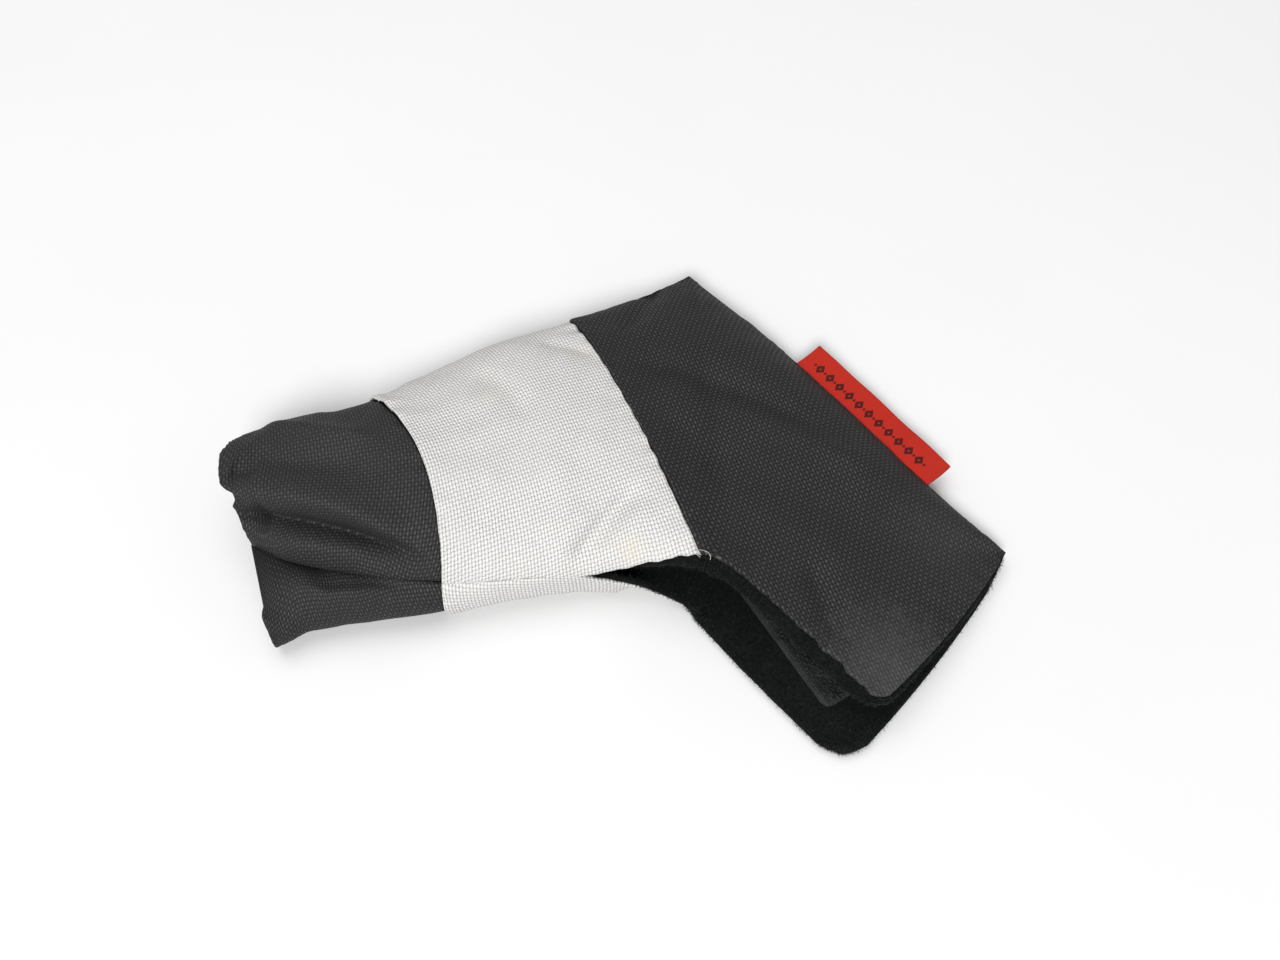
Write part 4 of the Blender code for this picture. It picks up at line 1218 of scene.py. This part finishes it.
def make_label(count=150, turn=13, straight=26):
    """The folded ribbon: out from the seam, round the bend and back, with a slow ripple along it."""
    length, reach, bend = LABEL_LENGTH, LABEL_REACH, LABEL_BEND
    low, high = (np.array(corner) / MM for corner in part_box("woven_label"))
    points = mesh_points(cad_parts["woven_label"])
    middle = points.mean(0)
    _, _, axes = np.linalg.svd(points - middle)
    x, y, z = axes[0], axes[1], np.array((0.0, 0.0, 1.0))
    x = x if x[0] > 0 else -x
    y = y if y @ np.array((0.76, 0.64, 0.0)) > 0 else -y
    base = middle - y * (reach / 2 + 0.9)
    base[2] = (low[2] + high[2]) / 2
    flat_run = reach - bend
    around = np.linspace(0, np.pi, turn)[1:-1]
    out_run = np.linspace(0, flat_run, straight)
    run = np.concatenate([out_run, flat_run + bend * np.sin(around), np.linspace(flat_run, 0, straight)])
    rise = np.concatenate([np.full(straight, bend), bend * np.cos(around), np.full(straight, -bend)])
    u = np.linspace(0, length, count)
    ripple = (0.32 * np.sin(u / length * 7.1 + 0.4) + 0.2 * np.sin(u / length * 17.3))[:, None]
    bulge = 0.45 * np.sin(np.pi * u / length)
    lift = 0.9 * np.exp(-u / 3.5)
    share = (run / reach)[None, :]
    out = run[None, :] + bulge[:, None] * smooth(share)
    height = rise[None, :] * (0.9 + 0.35 * np.abs(ripple)) + ripple * share
    height = height + lift[:, None] * share * 0.8 - smooth(1 - share) * rise[None, :] * 0.2
    skew = 0.25 * np.sin(share * 3)
    centre = (base + (u[:, None] - length / 2)[..., None] * x + skew[..., None] * x
              + out[..., None] * y + height[..., None] * z)
    n = normals(centre, "front")
    outer, inner = centre + n * LABEL_LAYER / 2, centre - n * LABEL_LAYER / 2
    v = lengths_along(centre[count // 2])
    across = np.where(v < v[-1] / 2, v, -(v - v[-1] / 2))
    unrolled = np.stack(np.meshgrid(u, across, indexing="ij"), -1)
    obj = sheet_object("folded_label", outer, inner, unrolled, 0.0, True, RED_RIBBON)
    settle(obj, "red_ribbon", "label", "woven_label")


def seam_line(part, column, start, end, sink, way=None):
    """The line of a seam on the front skin, from one section to another, sunk into it."""
    grid = GRIDS[part, "front"]
    rows = np.flatnonzero((grid.s >= start) & (grid.s <= end))
    inward = -grid.normals[rows, column] if way is None else np.array(way)
    return grid.points[rows, column] + inward * sink


def make_seams():
    """The threads of the three closing seams, sunk between the panels."""
    seams = {
        "side": [("cuff", 0, 0.06, 2, 1.6, PINCH_WAY), ("band", 0, 2.02, 2.9, 1.6, PINCH_WAY)],
        "top": [("cuff", -1, 0.06, 2, 1.2), ("band", -1, 2.02, 4, 1.2), ("head", -1, 4.02, 5.9, 1.1)],
        "sole": [("head", -1, 6.1, 8.9, 1.0)],
    }
    for name, lines in seams.items():
        path = np.concatenate([seam_line(*line) for line in lines])
        obj = twisted_thread(f"{name}_seam_stitching", [path], *THREADS["seam"], BLACK_THREAD)
        settle(obj, "black_thread", "cover", f"{name}_seam_thread")


def make_loose_ends():
    """Ends of the joining seam's thread, left at the corner of the slit."""
    corner = GRIDS["head", "front"].points[0, 0]
    ends = [((-0.3, 0.9, 0.5), (0.9, 0.3, 1.1), (2.0, -0.2, 1.0), (2.6, -1.1, 0.6), (2.5, -2.1, 0.1)),
            ((-0.5, 1.0, 0.4), (-1.2, 0.1, 0.9), (-1.0, -0.9, 0.7), (-0.3, -1.3, 0.3))]
    paths = [corner + np.array(end) for end in ends]
    obj = twisted_thread("loose_thread_ends", paths, *THREADS["loose"], PALE_THREAD)
    settle(obj, "black_thread", "cover")


def make_hem(made):
    """Stitches round the inside of the mouth, through the fleece."""
    neck_low, neck_s = made[0][2], made[0][4]
    ring = neck_low[int(np.argmin(np.abs(neck_s - 0.28))), 14:-3]
    total = lengths_along(ring)
    centre = ring.mean(0)
    paths = []
    for k in range(int(total[-1] / HEM_STITCH)):
        place = at_lengths(HEM_STITCH * k + np.array((0.2, 0.7, 1.2, 1.7, 2.2)), total, ring)
        paths.append(place + unit(centre - place) * np.array((-0.1, 0.22, 0.28, 0.22, -0.1))[:, None])
    obj = twisted_thread("mouth_hem_stitches", paths, *THREADS["hem"], BLACK_THREAD)
    settle(obj, "black_thread", "cover", "mouth_hem_thread")


# Stage

def make_stage():
    data = bpy.data.meshes.new("floor")
    corners = [(x * FLOOR_HALF, y * FLOOR_HALF, 0) for x, y in ((-1, -1), (1, -1), (1, 1), (-1, 1))]
    data.from_pydata(corners, [], [(0, 1, 2, 3)])
    data.materials.append(FLOOR)
    link(bpy.data.objects.new("floor", data))

    world = bpy.data.worlds.new("soft_room")
    world.use_nodes = True
    background = world.node_tree.nodes["Background"]
    background.inputs["Color"].default_value = (1.0, 1.0, 1.0, 1.0)
    background.inputs["Strength"].default_value = ROOM_LIGHT
    bpy.context.scene.world = world

    for name, (place, size, power) in LAMPS.items():
        lamp = bpy.data.lights.new(name, "AREA")
        lamp.shape = "RECTANGLE"
        lamp.size, lamp.size_y = size
        lamp.energy = power
        obj = link(bpy.data.objects.new(name, lamp))
        obj.location = place
        obj.rotation_euler = (-Vector(place)).to_track_quat("-Z", "Y").to_euler()

    camera = bpy.data.cameras.new("camera")
    camera.lens = CAMERA_LENS
    camera.sensor_width = 36.0
    camera.clip_start, camera.clip_end = 0.01, 20
    obj = link(bpy.data.objects.new("camera", camera))
    obj.location = CAMERA_PLACE
    obj.rotation_euler = (CAMERA_TILT, 0, 0)
    bpy.context.scene.camera = obj
    bpy.context.scene.view_settings.view_transform = "Standard"


make_stage()
make_canvas()
LININGS = make_linings()
make_nap(LININGS)
make_tapes(LININGS)
make_label()
make_seams()
make_hem(LININGS)
make_loose_ends()
